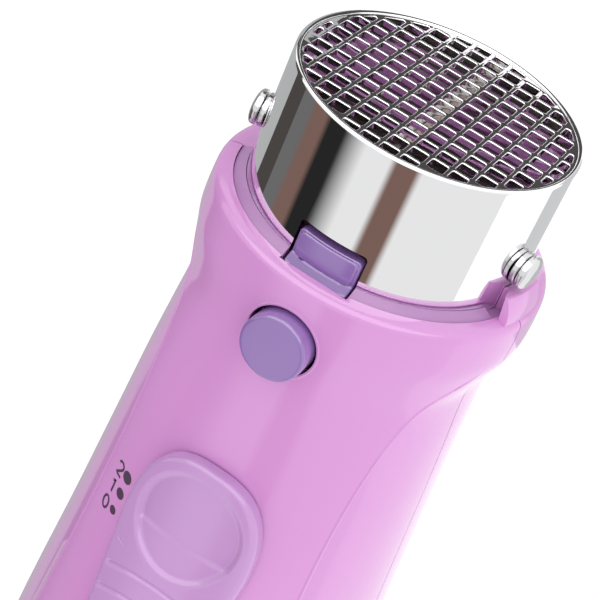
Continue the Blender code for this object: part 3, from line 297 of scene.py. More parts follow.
INK = surface("grey_purple_ink", (0.075, 0.046, 0.085), 0.35, vary=0.05)
# The shell's pink at about half brightness, for the sleeve deep inside the outlet: painted shade.
SLEEVE_PAINTED_SHADE = surface("sleeve_pink_painted_shade", (0.34, 0.13, 0.32), 0.3, vary=0.05)
STUD_METAL = surface("stud_metal", (0.70, 0.70, 0.71), 0.14, 1.0, vary=0.03, spread=0.03)
# Near-black finish of the band inside the barrel: painted shade for the dark reflection on the chrome's
# inner wall.
BAND_PAINTED_SHADE = surface("band_painted_shade", (0.035, 0.028, 0.024), 0.35, vary=0.08)


def plain(name, colour, strength):
    """An even light colour for studio cards."""
    nodes = Nodes(name)
    nodes.glow(strength).default_value = (*colour, 1.0)
    return nodes.material


# ---- mesh helpers ----


def place(name, mesh):
    obj = bpy.data.objects.new(name, mesh)
    bpy.context.scene.collection.objects.link(obj)
    return obj


def solid(name, bm, sharp=32):
    bmesh.ops.recalc_face_normals(bm, faces=bm.faces)
    mesh = bpy.data.meshes.new(name)
    bm.to_mesh(mesh)
    bm.free()
    smooth(mesh, sharp)
    return place(name, mesh)


def smooth(mesh, sharp=32):
    mesh.shade_smooth()
    mesh.set_sharp_from_angle(angle=math.radians(sharp))


def applied(obj):
    """Turns the object's modifiers into its mesh."""
    bpy.context.view_layer.update()
    graph = bpy.context.evaluated_depsgraph_get()
    mesh = bpy.data.meshes.new_from_object(obj.evaluated_get(graph))
    obj.modifiers.clear()
    obj.data = mesh
    return obj


def boolean(obj, other, operation="DIFFERENCE", sharp=32):
    mod = obj.modifiers.new("shape", "BOOLEAN")
    mod.operation = operation
    mod.object = other
    mod.solver = "EXACT"
    applied(obj)
    bpy.data.objects.remove(other)
    smooth(obj.data, sharp)
    return obj


def soften(obj, width, segments=3, angle=40):
    mod = obj.modifiers.new("soften", "BEVEL")
    mod.width = width * MM
    mod.segments = segments
    mod.limit_method = "ANGLE"
    mod.angle_limit = math.radians(angle)
    applied(obj)
    smooth(obj.data, 50)
    return obj


def bridge(bm, one, other):
    """A ring of faces between two closed rows of vertices."""
    for i in range(len(one)):
        k = (i + 1) % len(one)
        bm.faces.new((one[i], one[k], other[k], other[i]))


def capped(name, rows, sharp=32):
    """A solid through rows of points, closed at its first and last row."""
    bm = bmesh.new()
    rings = [[bm.verts.new(point) for point in row] for row in rows]
    for one, other in zip(rings, rings[1:]):
        bridge(bm, one, other)
    bm.faces.new(rings[0])
    bm.faces.new(list(reversed(rings[-1])))
    return solid(name, bm, sharp)


def box(x, s, z):
    bm = bmesh.new()
    low, high = world(x[0], s[0], z[0]), world(x[1], s[1], z[1])
    size = Matrix.Diagonal((*(high - low), 1.0))
    bmesh.ops.create_cube(bm, size=1.0, matrix=Matrix.Translation((low + high) / 2) @ size)
    return solid("box", bm)


def rod(start, end, radius, segments=32):
    bm = bmesh.new()
    span = end - start
    turn = span.to_track_quat("Z", "Y").to_matrix().to_4x4()
    matrix = Matrix.Translation((start + end) / 2) @ turn
    bmesh.ops.create_cone(
        bm,
        cap_ends=True,
        segments=segments,
        radius1=radius * MM,
        radius2=radius * MM,
        depth=span.length,
        matrix=matrix,
    )
    return solid("rod", bm)


def turned(name, profile, segments=96, at=None, out=None, sharp=40):
    """A closed (radius, distance) profile turned about an axis through `at`, along `out`."""
    bm = bmesh.new()
    at = world(0, 0, 0) if at is None else at
    out = Vector((0, 1, 0)) if out is None else out
    frame_of = Matrix.Translation(at) @ out.to_track_quat("Z", "Y").to_matrix().to_4x4()
    rings = []
    for radius, distance in profile:
        if radius <= 0:
            rings.append([bm.verts.new(frame_of @ Vector((0, 0, distance * MM)))])
            continue
        ring = []
        for i in range(segments):
            turn = math.tau * i / segments
            spot = Vector((radius * math.cos(turn), radius * math.sin(turn), distance)) * MM
            ring.append(bm.verts.new(frame_of @ spot))
        rings.append(ring)
    for low, high in zip(rings, rings[1:] + rings[:1]):
        if len(low) == 1 and len(high) == 1:
            continue
        for i in range(segments):
            k = (i + 1) % segments
            corners = [low[i % len(low)], low[k % len(low)], high[k % len(high)], high[i % len(high)]]
            bm.faces.new(list(dict.fromkeys(corners)))
    return solid(name, bm, sharp)


def arc(centre, radius, start, end, steps):
    """Points of an arc in a (radius, distance) profile; angles in degrees."""
    made = []
    for i in range(steps + 1):
        turn = math.radians(start + (end - start) * i / steps)
        made.append((centre[0] + radius * math.cos(turn), centre[1] + radius * math.sin(turn)))
    return made


def finish(obj, body, slot, *nodes, look=None):
    """Gives a piece its finish and ties it to its body and the CAD nodes that it stands for."""
    obj.data.materials.clear()
    obj.data.materials.append(look or LOOKS[slot])
    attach(obj, body)
    if nodes:
        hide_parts(*nodes)
    return obj


# ---- the handle's surface ----


def ease(t):
    t = min(1.0, max(0.0, t))
    return t * t * (3 - 2 * t)


def along(stations, s):
    """Smooth interpolation through (station, value) pairs."""
    if s <= stations[0][0]:
        return stations[0][1]
    for i in range(len(stations) - 1):
        (s0, v0), (s1, v1) = stations[i], stations[i + 1]
        if s > s1:
            continue
        before = stations[i - 1] if i else stations[i]
        after = stations[i + 2] if i + 2 < len(stations) else stations[i + 1]
        m0 = (v1 - before[1]) / max(1e-6, s1 - before[0])
        m1 = (after[1] - v0) / max(1e-6, after[0] - s0)
        width = s1 - s0
        t = (s - s0) / width
        return (
            (2 * t**3 - 3 * t**2 + 1) * v0
            + (t**3 - 2 * t**2 + t) * width * m0
            + (3 * t**2 - 2 * t**3) * v1
            + (t**3 - t**2) * width * m1
        )
    return stations[-1][1]


WIDTHS = [
    (S_SHOULDER + 1.8, SHOULDER_EXTRA - 0.05),
    (S_WAIST - 11, SHOULDER_EXTRA + 0.05),
    (S_WAIST - 8, SHOULDER_EXTRA - 0.1),
    (S_WAIST - 4, WAIST_EXTRA + 0.75),
    (S_WAIST, WAIST_EXTRA),
    (S_WAIST + 8, WAIST_EXTRA + 0.4),
    ((S_WAIST + S_BELLY) / 2, (WAIST_EXTRA + BELLY_EXTRA) / 2 - 0.1),
    (S_BELLY, BELLY_EXTRA),
    ((S_BELLY + S_SHELL_END) / 2, (BELLY_EXTRA + TAIL_EXTRA) / 2 + 1.1),
    (S_SHELL_END, TAIL_EXTRA),
    (S_CAP_END, -2.0),
]


def half_width(s):
    return BARREL_R + along(WIDTHS, s)


def front_line(s):
    slide_end = FRONT_AT_SLIDE + FRONT_SLOPE * (S_SLIDE_END - S_SLIDE_START)
    if S_SLIDE_START <= s <= S_SLIDE_END:
        return BARREL_R + FRONT_AT_SLIDE + FRONT_SLOPE * (s - S_SLIDE_START)
    if s < S_SLIDE_START:
        stations = [
            (S_SHOULDER + 1.8, SHOULDER_EXTRA - 0.05),
            (S_WAIST - 8, SHOULDER_EXTRA),
            (S_WAIST - 1, SHOULDER_EXTRA - 0.35),
            (S_SLIDE_START - 6, FRONT_AT_SLIDE - FRONT_SLOPE * 6 + 0.05),
            (S_SLIDE_START, FRONT_AT_SLIDE),
            (S_SLIDE_START + 6, FRONT_AT_SLIDE + FRONT_SLOPE * 6),
        ]
        return BARREL_R + along(stations, s)
    peak = slide_end + 1.1
    stations = [
        (S_SLIDE_END - 8, slide_end - FRONT_SLOPE * 8),
        (S_SLIDE_END, slide_end),
        (S_BELLY, peak),
        ((S_BELLY + S_SHELL_END) / 2, peak - 1.9),
        (S_SHELL_END, SEAM_LIFT + TAIL_EXTRA - 1.2),
        (S_CAP_END, SEAM_LIFT - 3.0),
    ]
    return BARREL_R + along(stations, s)


def rear_line(s):
    full = REAR_EXTRA + REAR_FLAT
    stations = [
        (S_SHOULDER, full),
        (S_SHELL_END - 27, full),
        (S_SHELL_END - 12, full - 1.6),
        (S_SHELL_END, TAIL_EXTRA - SEAM_LIFT + 0.4),
        (S_CAP_END, -SEAM_LIFT - 2.6),
    ]
    return BARREL_R + along(stations, s)


def middle(s):
    return SEAM_LIFT * ease((s - S_SHOULDER - 3) / 34)


def crease_angle(s):
    before = [(S_CREASE - 4, 78), (S_CREASE, 70)]
    return along([*before, (S_WAIST, 56), (S_WAIST + 10, 48), (66, 44), (110, 45)], s)


FRONT_COLUMNS = 24
FLANK_COLUMNS = 44
CREASE_STEP = 0.34  # degrees between the columns that make the crease's thin ridge
RIDGE = 0.13


def columns(s):
    """Angles round the section, from the front over +X to the rear and back over -X."""
    crease = crease_angle(s)
    edge = 2 * CREASE_STEP
    side = [(crease - edge) * i / FRONT_COLUMNS for i in range(FRONT_COLUMNS + 1)]
    side += [crease - CREASE_STEP, crease, crease + CREASE_STEP]
    side += [crease + edge + (180 - crease - edge) * i / FLANK_COLUMNS for i in range(FLANK_COLUMNS)]
    return side + [360 - a for a in [180, *reversed(side[1:])]]


def section_point(angle, s, wide, front, rear, mid, floor, hollow):
    bend = math.radians(angle)
    depth = front - mid if math.cos(bend) > 0 else rear + mid
    x = wide * math.sin(bend)
    z = mid + depth * math.cos(bend)
    turn = angle if angle <= 180 else 360 - angle
    crease = crease_angle(s)
    dip = 0.0
    if hollow > 0 and crease < turn < 110:
        dip = hollow * math.sin(math.pi * (turn - crease) / (110 - crease))
    if hollow > 0:
        near = abs(turn - crease) / (2 * CREASE_STEP)
        dip -= min(1.0, hollow / CREASE_DEPTH * 4) * RIDGE * math.sqrt(max(0.0, 1 - near**2))
    x -= dip * math.sin(bend)
    z -= dip * math.cos(bend)
    return world(x, s, max(z, -floor))


def loft(name, rows, sharp=32):
    """A closed skin through rows of (station, half-width, front, rear, middle, floor, hollow)."""
    bm = bmesh.new()
    rings = []
    for row in rows:
        rings.append([bm.verts.new(section_point(a, *row)) for a in columns(row[0])])
    for ring, following in zip(rings, rings[1:] + rings[:1]):
        bridge(bm, ring, following)
    return solid(name, bm, sharp)


def body_row(s, inset=0.0):
    hollow = CREASE_DEPTH * ease((s - S_CREASE + 1.5) / 9)
    blend = ease((s - S_SHOULDER - 1.6) / 2.0)
    outer = BARREL_R + SHOULDER_EXTRA - 0.05
    return (
        s,
        half_width(s) - inset,
        front_line(s) - inset,
        outer + (rear_line(s) - outer) * blend - inset,
        middle(s),
        AXIS_Z - inset,
        hollow if inset == 0 else 0.0,
    )


def round_row(s, radius):
    return (s, radius, radius, radius, 0.0, AXIS_Z, 0.0)


SHOULDER_PROFILE = [
    (0.05, 23.2),
    (0.16, 23.7),
    (0.3, 24.15),
    (0.42, 24.42),
    (0.56, 24.64),
    (0.74, 24.83),
    (0.98, 24.98),
    (1.3, 25.08),
]


def shell_skin(name, opening):
    body = [S_SHOULDER + 1.8 + 0.8 * i for i in range(38)]
    s = body[-1]
    while s < S_SHELL_END - 2.5:
        s += 2.4
        body.append(s)
    body.append(S_SHELL_END)
    rows = [round_row(S_SHOULDER + 0.06, opening), round_row(S_SHOULDER, opening + 0.08)]
    rows += [round_row(S_SHOULDER + ds, r) for ds, r in SHOULDER_PROFILE]
    rows += [body_row(s) for s in body]
    inside = [s for i, s in enumerate(body) if s > S_SHOULDER + 5 and (i % 4 == 0 or s == S_SHELL_END)]
    rows += [body_row(s, WALL) for s in reversed(inside)]
    rows.append(round_row(S_SHOULDER + WALL + 0.8, BARREL_R + SHOULDER_EXTRA - WALL))
    rows.append(round_row(S_SHOULDER + WALL, opening))
    return loft(name, rows)


def front_at(x, s):
    mid = middle(s)
    return mid + (front_line(s) - mid) * math.sqrt(max(0.0, 1 - (x / half_width(s)) ** 2))


SLIDE_FRAME = Matrix.Translation(world(0, S_STEM, front_line(S_STEM))) @ Matrix.Rotation(
    math.atan(FRONT_SLOPE), 4, "X"
)


def slide_box(v, u, w):
    bm = bmesh.new()
    low, high = Vector((v[0], u[0], w[0])) * MM, Vector((v[1], u[1], w[1])) * MM
    size = Matrix.Diagonal((*(high - low), 1.0))
    bmesh.ops.create_cube(bm, size=1.0, matrix=SLIDE_FRAME @ Matrix.Translation((low + high) / 2) @ size)
    return solid("slide_box", bm)


def swept(points, radius, sides=10):
    """A closed round bead along a closed path, as bmesh."""
    bm = bmesh.new()
    rings = []
    count = len(points)
    centre = sum(points, Vector()) / count
    for i, point in enumerate(points):
        tangent = (points[(i + 1) % count] - points[i - 1]).normalized()
        out = (point - centre).normalized()
        out = (out - tangent * out.dot(tangent)).normalized()
        up = tangent.cross(out)
        ring = []
        for k in range(sides):
            turn = math.tau * k / sides
            ring.append(bm.verts.new(point + (out * math.cos(turn) + up * math.sin(turn)) * radius * MM))
        rings.append(ring)
    for ring, following in zip(rings, rings[1:] + rings[:1]):
        bridge(bm, ring, following)
    return bm


def front_shell():
    shell = shell_skin("front_shell_skin", RING_R + 0.13)
    reach = BARREL_R * 3
    edge = SEAM_LIFT + SEAM_GAP / 2
    boolean(shell, box((-reach, reach), (-20, 240), (-reach, edge)))
    hole = rod(world(0, S_BUTTON, Z_ARM), world(0, S_BUTTON, BARREL_R + 12), BUTTON_R + BUTTON_GAP, 96)
    boolean(shell, hole)
    heel_r = BARREL_R + CATCH_PROUD + CATCH_HEEL_RISE
    gap = CATCH_WIDTH / 2 + 0.45
    boolean(shell, box((-gap, gap), (S_SHOULDER - 3, S_SHOULDER + 0.5), (0, heel_r + 0.25)))
    slot = STEM_SIZE / 2 + 0.4
    boolean(shell, slide_box((-slot, slot), (-slot - SWITCH_TRAVEL, slot), (-8, 4)))
    lip = BUTTON_R + BUTTON_GAP + 0.22
    path = []
    for i in range(72):
        turn = math.tau * i / 72
        x, s = lip * math.cos(turn), S_BUTTON + lip * math.sin(turn)
        path.append(world(x, s, front_at(x, s) - 0.17))
    boolean(shell, solid("lip", swept(path, 0.24)), "UNION")
    return finish(shell, "casing", "pink_shell", "front_shell")


def rear_shell():
    shell = shell_skin("rear_shell_skin", BARREL_R + 0.06)
    reach = BARREL_R * 3
    edge = SEAM_LIFT - SEAM_GAP / 2
    boolean(shell, box((-reach, reach), (-20, 240), (edge, reach)))
    boolean(shell, lug(), "UNION")
    # Each screw sits at the bottom of its own hole in the back.
    for letter in "abcd":
        low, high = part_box("shell_screw_" + letter)
        x, y = (low.x + high.x) / 2, (low.y + high.y) / 2
        start = Vector((x, y, -0.005))
        boolean(shell, rod(start, Vector((x, y, low.z + 0.0015)), 2.5, 32))
    return finish(shell, "casing", "pink_shell", "rear_shell")


LUG_OUTSIDE = [
    (22.9, 0.0),
    (23.25, 0.1),
    (23.45, 0.35),
    (23.75, 1.0),
    (24.15, 2.0),
    (24.45, 3.2),
    (24.5, 4.4),
]
Z_LUG = (-1.0, 7.5)


def lug():
    """The ear that stands on the shoulder below the right stud, with its front inner edge cut back."""
    inner = BARREL_R + 0.06
    profile = [(inner, S_LUG + 0.2), (inner + 0.2, S_LUG), *((r, S_LUG + ds) for r, ds in LUG_OUTSIDE)]
    profile.append((inner, S_SHOULDER + 0.8))
    ear = turned("lug", profile, 360)
    boolean(ear, box((-30, 0), (S_LUG - 2, S_SHOULDER + 3), Z_LUG), "INTERSECT")
    # The cut runs from the front face down to the barrel, and leans in towards the shoulder.
    low, high = S_LUG - 1, S_SHOULDER + 1
    near = [(-21.5, low, 7.7), (-22.3, high, 7.7), (-21.2, high, 4.4), (-20.95, low, 4.9)]
    far = [(x + 6, s, z + 3) for x, s, z in near]
    boolean(ear, capped("lug_cut", [[world(*spot) for spot in row] for row in (near, far)]))
    return soften(ear, 0.16, 3, 35)


# ---- outlet ----


def rounded_outline(half_x, low, high, corner, steps=8, both=False):
    """A rectangle in (x, distance) with its low corners, or all four, rounded."""
    made = []
    corners = [(half_x - corner, low + corner, -90, 0)]
    if both:
        corners.append((half_x - corner, high - corner, 0, 90))
        corners.append((-half_x + corner, high - corner, 90, 180))
    else:
        made_high = [(half_x, high), (-half_x, high)]
    corners.append((-half_x + corner, low + corner, 180, 270))
    for index, (x, y, start, end) in enumerate(corners):
        made += arc((x, y), corner, start, end, steps)
        if not both and index == 0:
            made += made_high
    return made


def prism(outline, z_low, z_high):
    """A straight solid over an (x, station) outline, between two heights."""
    return capped("prism", [[world(x, s, z) for x, s in outline] for z in (z_low, z_high)])


def barrel():
    inner = BARREL_R - BARREL_WALL
    rim = [(BARREL_R, S_BARREL_END), (BARREL_R, 8.0), (BARREL_R, 0.6)]
    roll = 0.45
    rim += arc((BARREL_R - roll, roll), roll, 0, -90, 10)
    rim += arc((BARREL_R - roll, 0.4), 0.4, -90, -180, 8)
    rim += [(inner, 0.7), (inner, S_BARREL_END)]
    tube = turned("barrel_chrome", rim, 192, sharp=40)
    notch = rounded_outline(5.25, S_NOTCH, S_BARREL_END + 3, 0.75)
    boolean(tube, prism(notch, 0, BARREL_R + 6), sharp=40)
    for side in (-1, 1):
        hole = rod(stud_point(side, BARREL_R - 5), stud_point(side, BARREL_R + 5), 1.4)
        boolean(tube, hole, sharp=40)
    return finish(tube, "casing", "chrome", "barrel")


def stud_point(side, out):
    turn = math.radians(STUD_ANGLE)
    return world(side * out * math.cos(turn), S_STUD, out * math.sin(turn))


def studs():
    flat = BARREL_R + 0.04
    top = flat + 0.85
    dome = top + 0.16
    inside = math.sqrt((BARREL_R - BARREL_WALL) ** 2 - 4) - GAP
    for side, name in ((1, "left"), (-1, "right")):
        out = (stud_point(side, 1) - stud_point(side, 0)).normalized()
        profile = [(0, inside - 0.8), (2.0, inside - 0.8), (2.0, inside), (1.1, inside), (1.1, dome)]
        profile += [(2.3, dome), (2.55, dome + 0.08), (2.68, dome + 0.25), (2.7, dome + 0.5)]
        profile.append((2.66, dome + 0.7))
        for i in range(1, 10):
            turn = math.radians(90 * i / 9)
            radius = 2.66 * math.cos(turn) ** 0.8 if i < 9 else 0
            profile.append((radius, dome + 0.7 + 0.8 * math.sin(turn)))
        stud = turned("stud_dome_" + name, profile, 64, stud_point(side, 0), out)
        finish(stud, "casing", "chrome", "stud_" + name, look=STUD_METAL)
        washer = [(1.4, flat), (2.45, flat), (2.6, flat + 0.15), (2.6, top - 0.2), (2.4, top), (1.4, top)]
        ring = turned("stud_ring_" + name, washer, 64, stud_point(side, 0), out)
        finish(ring, "casing", "chrome", "stud_washer_" + name, look=STUD_METAL)


def cell_edge(centre, half, radius, corner, count):
    """Where a rounded cell's outline runs, as (place, direction) pairs: the cell's rectangle cut by the
    opening's circle, drawn in by `corner` so that a later step out rounds every corner."""
    hx, hz = half[0] - corner, half[1] - corner
    limit = radius - corner
    marks = []
    for i in range(41):
        f = -1 + i / 20
        for x, z in ((f * hx, -hz), (f * hx, hz), (-hx, f * hz), (hx, f * hz)):
            x, z = centre[0] + x, centre[1] + z
            if math.hypot(x, z) <= limit:
                marks.append((x, z))
    for i in range(1440):
        turn = math.tau * i / 1440
        x, z = limit * math.cos(turn), limit * math.sin(turn)
        if abs(x - centre[0]) <= hx and abs(z - centre[1]) <= hz:
            marks.append((x, z))
    if not marks:
        return []
    spread = np.ptp(np.array(marks), axis=0)
    if spread.min() < 0.12:
        return []
    made = []
    for i in range(count):
        turn = math.tau * (i + 0.5) / count
        out = (math.cos(turn), math.sin(turn))
        far = max(marks, key=lambda m: m[0] * out[0] + m[1] * out[1])
        made.append((far, out))
    return made


def grille():
    """A cast grid of rounded bars, as wide as the rolled rim leaves."""
    start, end = S_GRILLE, S_GRILLE + GRILLE_DEPTH
    plate = turned("grille_cast", [(0, start), (GRILLE_R, start), (GRILLE_R, end), (0, end)], 128)
    bm = bmesh.new()
    half = (GRILLE_PITCH - GRILLE_BAR) / 2, (GRILLE_CROSS_PITCH - GRILLE_CROSS) / 2
    round_r, corner = GRILLE_ROUND, 0.34
    steps = [(start - 1, round_r)]
    for i in range(5):
        turn = math.radians(90 * i / 4)
        steps.append((start + round_r * (1 - math.cos(turn)), round_r * (1 - math.sin(turn))))
    steps.append((end + 1, 0.0))
    count = int(GRILLE_R / GRILLE_CROSS_PITCH) + 2
    for i in range(-count, count + 1):
        for k in range(-count, count + 1):
            centre = GRILLE_SHIFT[0] + i * GRILLE_PITCH, GRILLE_SHIFT[1] + k * GRILLE_CROSS_PITCH
            edge = cell_edge(centre, half, GRILLE_OPEN_R, corner, 28)
            if not edge:
                continue
            loops = []
            for s, grow in steps:
                reach = corner + grow
                spots = [(p[0] + o[0] * reach, p[1] + o[1] * reach) for p, o in edge]
                loops.append([bm.verts.new(world(x, s, z)) for x, z in spots])
            bm.faces.new(loops[0])
            bm.faces.new(list(reversed(loops[-1])))
            for low, high in zip(loops, loops[1:]):
                bridge(bm, low, high)
    boolean(plate, solid("cells", bm), sharp=40)
    return finish(plate, "casing", "chrome", "outlet_grille")


def inner_painted_shade_band():
    """A near-black band inside the chrome barrel, between the grille and the liner: painted shade,
    standing in for the dark reflection on the barrel's inner wall.
    """
    outer = BARREL_R - BARREL_WALL - 0.03
    inner = outer - 0.2
    start, end = S_GRILLE + GRILLE_DEPTH + 0.1, 3.9
    profile = [(outer, start), (outer, end), (inner, end), (inner, start)]
    band = turned("barrel_inner_painted_shade_band", profile, 128)
    # The band's near-black colour is painted shade, not the barrel's own finish.
    return finish(band, "casing", "black", look=BAND_PAINTED_SHADE)


def ring():
    inner = BARREL_R + 0.05
    foot = S_RING_TOP + RING_SLOPE
    profile = [(inner, S_RING_TOP + 0.06), (inner + 0.06, S_RING_TOP)]
    profile += [(RING_R - 0.1, foot - 0.04), (RING_R, foot + 0.08)]
    profile += [(RING_R, S_BARREL_END), (19.1, S_BARREL_END + 2.0), (19.1, S_BARREL_END + GAP)]
    profile += [(inner, S_BARREL_END + GAP)]
    seat = turned("seat_ring_fine", profile, 192, sharp=25)
    half = CATCH_WIDTH / 2 + 0.4
    reach = RING_R + 2
    top = S_RING_TOP - 2
    # It is open at the catch, behind the seam and at the lug.
    boolean(seat, box((-half, half), (top, S_BARREL_END + 4), (0, BARREL_R + 6)), sharp=25)
    behind = box((-reach, reach), (top, S_SHOULDER + 3.1), (-reach, SEAM_LIFT - 0.05))
    boolean(seat, behind, sharp=25)
    boolean(seat, box((-reach, 2 - BARREL_R), (top, S_SHOULDER + GAP), (0, 7.65)), sharp=25)
    return finish(seat, "casing", "lavender", "barrel_seat_ring")


# ---- catch, button and switch ----


def domed(bm, rings, height, under, to_world):
    """Rings of points run inwards, and `height` gives their lift. The rings in `under`, from the outline
    inwards, are (v, u, w) points of the underside. to_world turns (v, u, w) into metres."""
    made = []
    for ring in rings:
        made.append([bm.verts.new(to_world(v, u, w)) for (v, u), w in zip(ring, height(ring))])
    for ring, following in zip(made, made[1:]):
        bridge(bm, ring, following)
    bm.faces.new(made[-1])
    low = [[bm.verts.new(to_world(*spot)) for spot in ring] for ring in under]
    bridge(bm, low[0], made[0])
    for ring, following in zip(low, low[1:]):
        bridge(bm, following, ring)
    bm.faces.new(list(reversed(low[-1])))


def edge_distance(points, outline):
    """Distance of each point to a closed outline."""
    p = np.asarray(points, float)
    a = np.asarray(outline, float)
    b = np.roll(a, -1, axis=0)
    ab = b - a
    t = ((p[:, None, :] - a[None]) * ab[None]).sum(2) / np.maximum(1e-12, (ab**2).sum(1))[None]
    t = np.clip(t, 0, 1)
    near = a[None] + ab[None] * t[:, :, None]
    return np.sqrt(((p[:, None, :] - near) ** 2).sum(2)).min(1)


def round_over(distance, radius):
    """How far a rounded edge of that radius falls, at a distance inside the outline."""
    inner = np.clip(radius - distance, 0, radius)
    return radius - np.sqrt(radius**2 - inner**2)


def inside_outline(points, outline):
    """Whether each point lies inside a convex outline."""
    a = np.asarray(outline, float)
    b = np.roll(a, -1, axis=0)
    p = np.asarray(points, float)
    side, away = (b - a)[None], p[:, None] - a[None]
    cross = side[..., 0] * away[..., 1] - side[..., 1] * away[..., 0]
    return (cross >= -1e-9).all(1) | (cross <= 1e-9).all(1)


def resampled(outline, count):
    """Evenly spaced points along a closed outline."""
    a = np.asarray(outline, float)
    closed = np.vstack([a, a[:1]])
    steps = np.sqrt((np.diff(closed, axis=0) ** 2).sum(1))
    far = np.concatenate([[0], np.cumsum(steps)])
    spots = np.linspace(0, far[-1], count, endpoint=False)
    return np.stack([np.interp(spots, far, closed[:, i]) for i in (0, 1)], axis=1)


def catch():
    """The catch's face follows the barrel; its heel rises as a cone to the shoulder."""
    top = BARREL_R + CATCH_PROUD
    heel = S_CATCH_EDGE + 0.8
    outline = resampled(rounded_outline(CATCH_WIDTH / 2, S_CATCH, heel + 0.6, 0.8), 200)
    centre = np.array([0.0, (S_CATCH + heel) / 2])
    fractions = [0, 0.01, 0.022, 0.036, 0.052]
    fractions += [*np.linspace(0.066, 0.3, 22), *np.linspace(0.34, 0.98, 20)]
    rings = [centre + (outline - centre) * (1 - t) for t in fractions]
    face = rounded_outline(CATCH_WIDTH / 2 - 0.35, S_CATCH + 0.2, S_CATCH_EDGE, 0.9, both=True)
    panel = resampled(face, 200)

    def height(points):
        points = np.asarray(points)
        v, s = points[:, 0], points[:, 1]
        # The panel stands a little proud of the rim round it, and the heel climbs to the shoulder.
        out = np.clip((s - (S_CATCH_EDGE - 0.1)) / (heel - S_CATCH_EDGE + 0.1), 0, 1)
        low = top - 0.32
        radius = low + (top + CATCH_HEEL_RISE - low) * out
        inside = inside_outline(points, panel)
        away = edge_distance(points, panel)
        rise = np.where(inside, 0.34 - round_over(away, 0.34), 0.0)
        radius = np.where(inside, low + rise, radius)
        fall = round_over(edge_distance(points, outline), 0.3)
        return np.sqrt(radius**2 - v**2) - fall

    bm = bmesh.new()
    domed(bm, rings, height, [[(v, u, Z_ARM) for v, u in outline]], world)
    head = solid("catch_head", bm, 50)
    arm = box((-4.0, 4.0), (S_CATCH + 1.5, S_SPRING + 2.4), (Z_ARM + 0.01, Z_ARM + 1.6))
    boolean(head, arm, "UNION", 50)
    pivot = Z_ARM + 0.6
    boolean(head, rod(world(-3.99, S_PIVOT, pivot), world(3.99, S_PIVOT, pivot), 1.9), "UNION", 50)
    boolean(head, rod(world(-6, S_PIVOT, pivot), world(6, S_PIVOT, pivot), 1.2), sharp=50)
    return finish(head, "release_lever", "purple", "lock_lever")


def button():
    bottom = Z_ARM + 1.6 + GAP
    top = front_line(S_BUTTON) + BUTTON_PROUD
    profile = [(0, bottom), (BUTTON_R, bottom), (BUTTON_R, top - 0.75)]
    profile += arc((BUTTON_R - 0.55, top - 0.6), 0.55, 0, 90, 8)[1:]
    profile += [(BUTTON_R - 1.0, top - 0.02), (BUTTON_R * 0.5, top + 0.06), (0, top + 0.09)]
    cap = turned("button_cap", profile, 96, world(0, S_BUTTON, 0), Vector((0, 0, 1)))
    return finish(cap, "release_lever", "purple", "release_button")


def knob_outline():
    made = []
    for i in range(28):
        turn = math.radians(90 * i / 27)
        v, u = math.sin(turn) ** 0.8, 1 - math.cos(turn) ** 0.8
        made.append((KNOB_HALF * v, -KNOB_NOSE + KNOB_NOSE_LENGTH * u))
    made.append((KNOB_TAIL_HALF, KNOB_TAIL - 4))
    for i in range(1, 13):
        turn = math.radians(90 * i / 12)
        side = KNOB_TAIL_HALF * math.cos(turn) ** 0.6 if i < 12 else 0.0
        made.append((side, KNOB_TAIL - 4 + 4 * math.sin(turn)))
    return made + [(-v, u) for v, u in reversed(made[1:-1])]


DISH_U = -19.7
DISH_HALF = 8.75
DISH_LENGTH = 9.3
DISH_STEP_U = -16.9
GROOVES = (-8.2, -3.8, 0.6, 5.0)
GROOVE_BEND_R = 22.0


def knob_height(points, outline):
    points = np.asarray(points)
    v, u = points[:, 0], points[:, 1]
    top_r = KNOB_SECTION_R + KNOB_RISE
    top = np.sqrt(top_r**2 - v**2) - KNOB_SECTION_R
    top = top - round_over(edge_distance(points, outline), 0.9)
    away = 1 - np.sqrt((v / DISH_HALF) ** 2 + ((u - DISH_U) / DISH_LENGTH) ** 2)
    wall = np.clip(away / 0.13, 0, 1)
    wall = wall * wall * (3 - 2 * wall)
    # A flat floor falls from the nose to a straight step, and a second, shallower flat climbs out.
    fall = 0.3 + 0.075 * (u - DISH_U + DISH_LENGTH)
    step = np.clip((u - DISH_STEP_U) / 0.9, 0, 1)
    step = step * step * (3 - 2 * step)
    deepest = 0.3 + 0.075 * (DISH_STEP_U - DISH_U + DISH_LENGTH)
    climb = deepest - 0.28 - 0.045 * (u - DISH_STEP_U)
    floor = fall * (1 - step) + climb * step
    top = top - wall * floor
    for groove in GROOVES:
        bend = groove + GROOVE_BEND_R - np.sqrt(np.maximum(0, GROOVE_BEND_R**2 - v**2))
        near = np.exp(-(((u - bend) / 0.42) ** 2))
        inside = np.clip((KNOB_HALF * 0.88 - np.abs(v)) / 0.8, 0, 1)
        top = top - 0.45 * near * inside
    return top


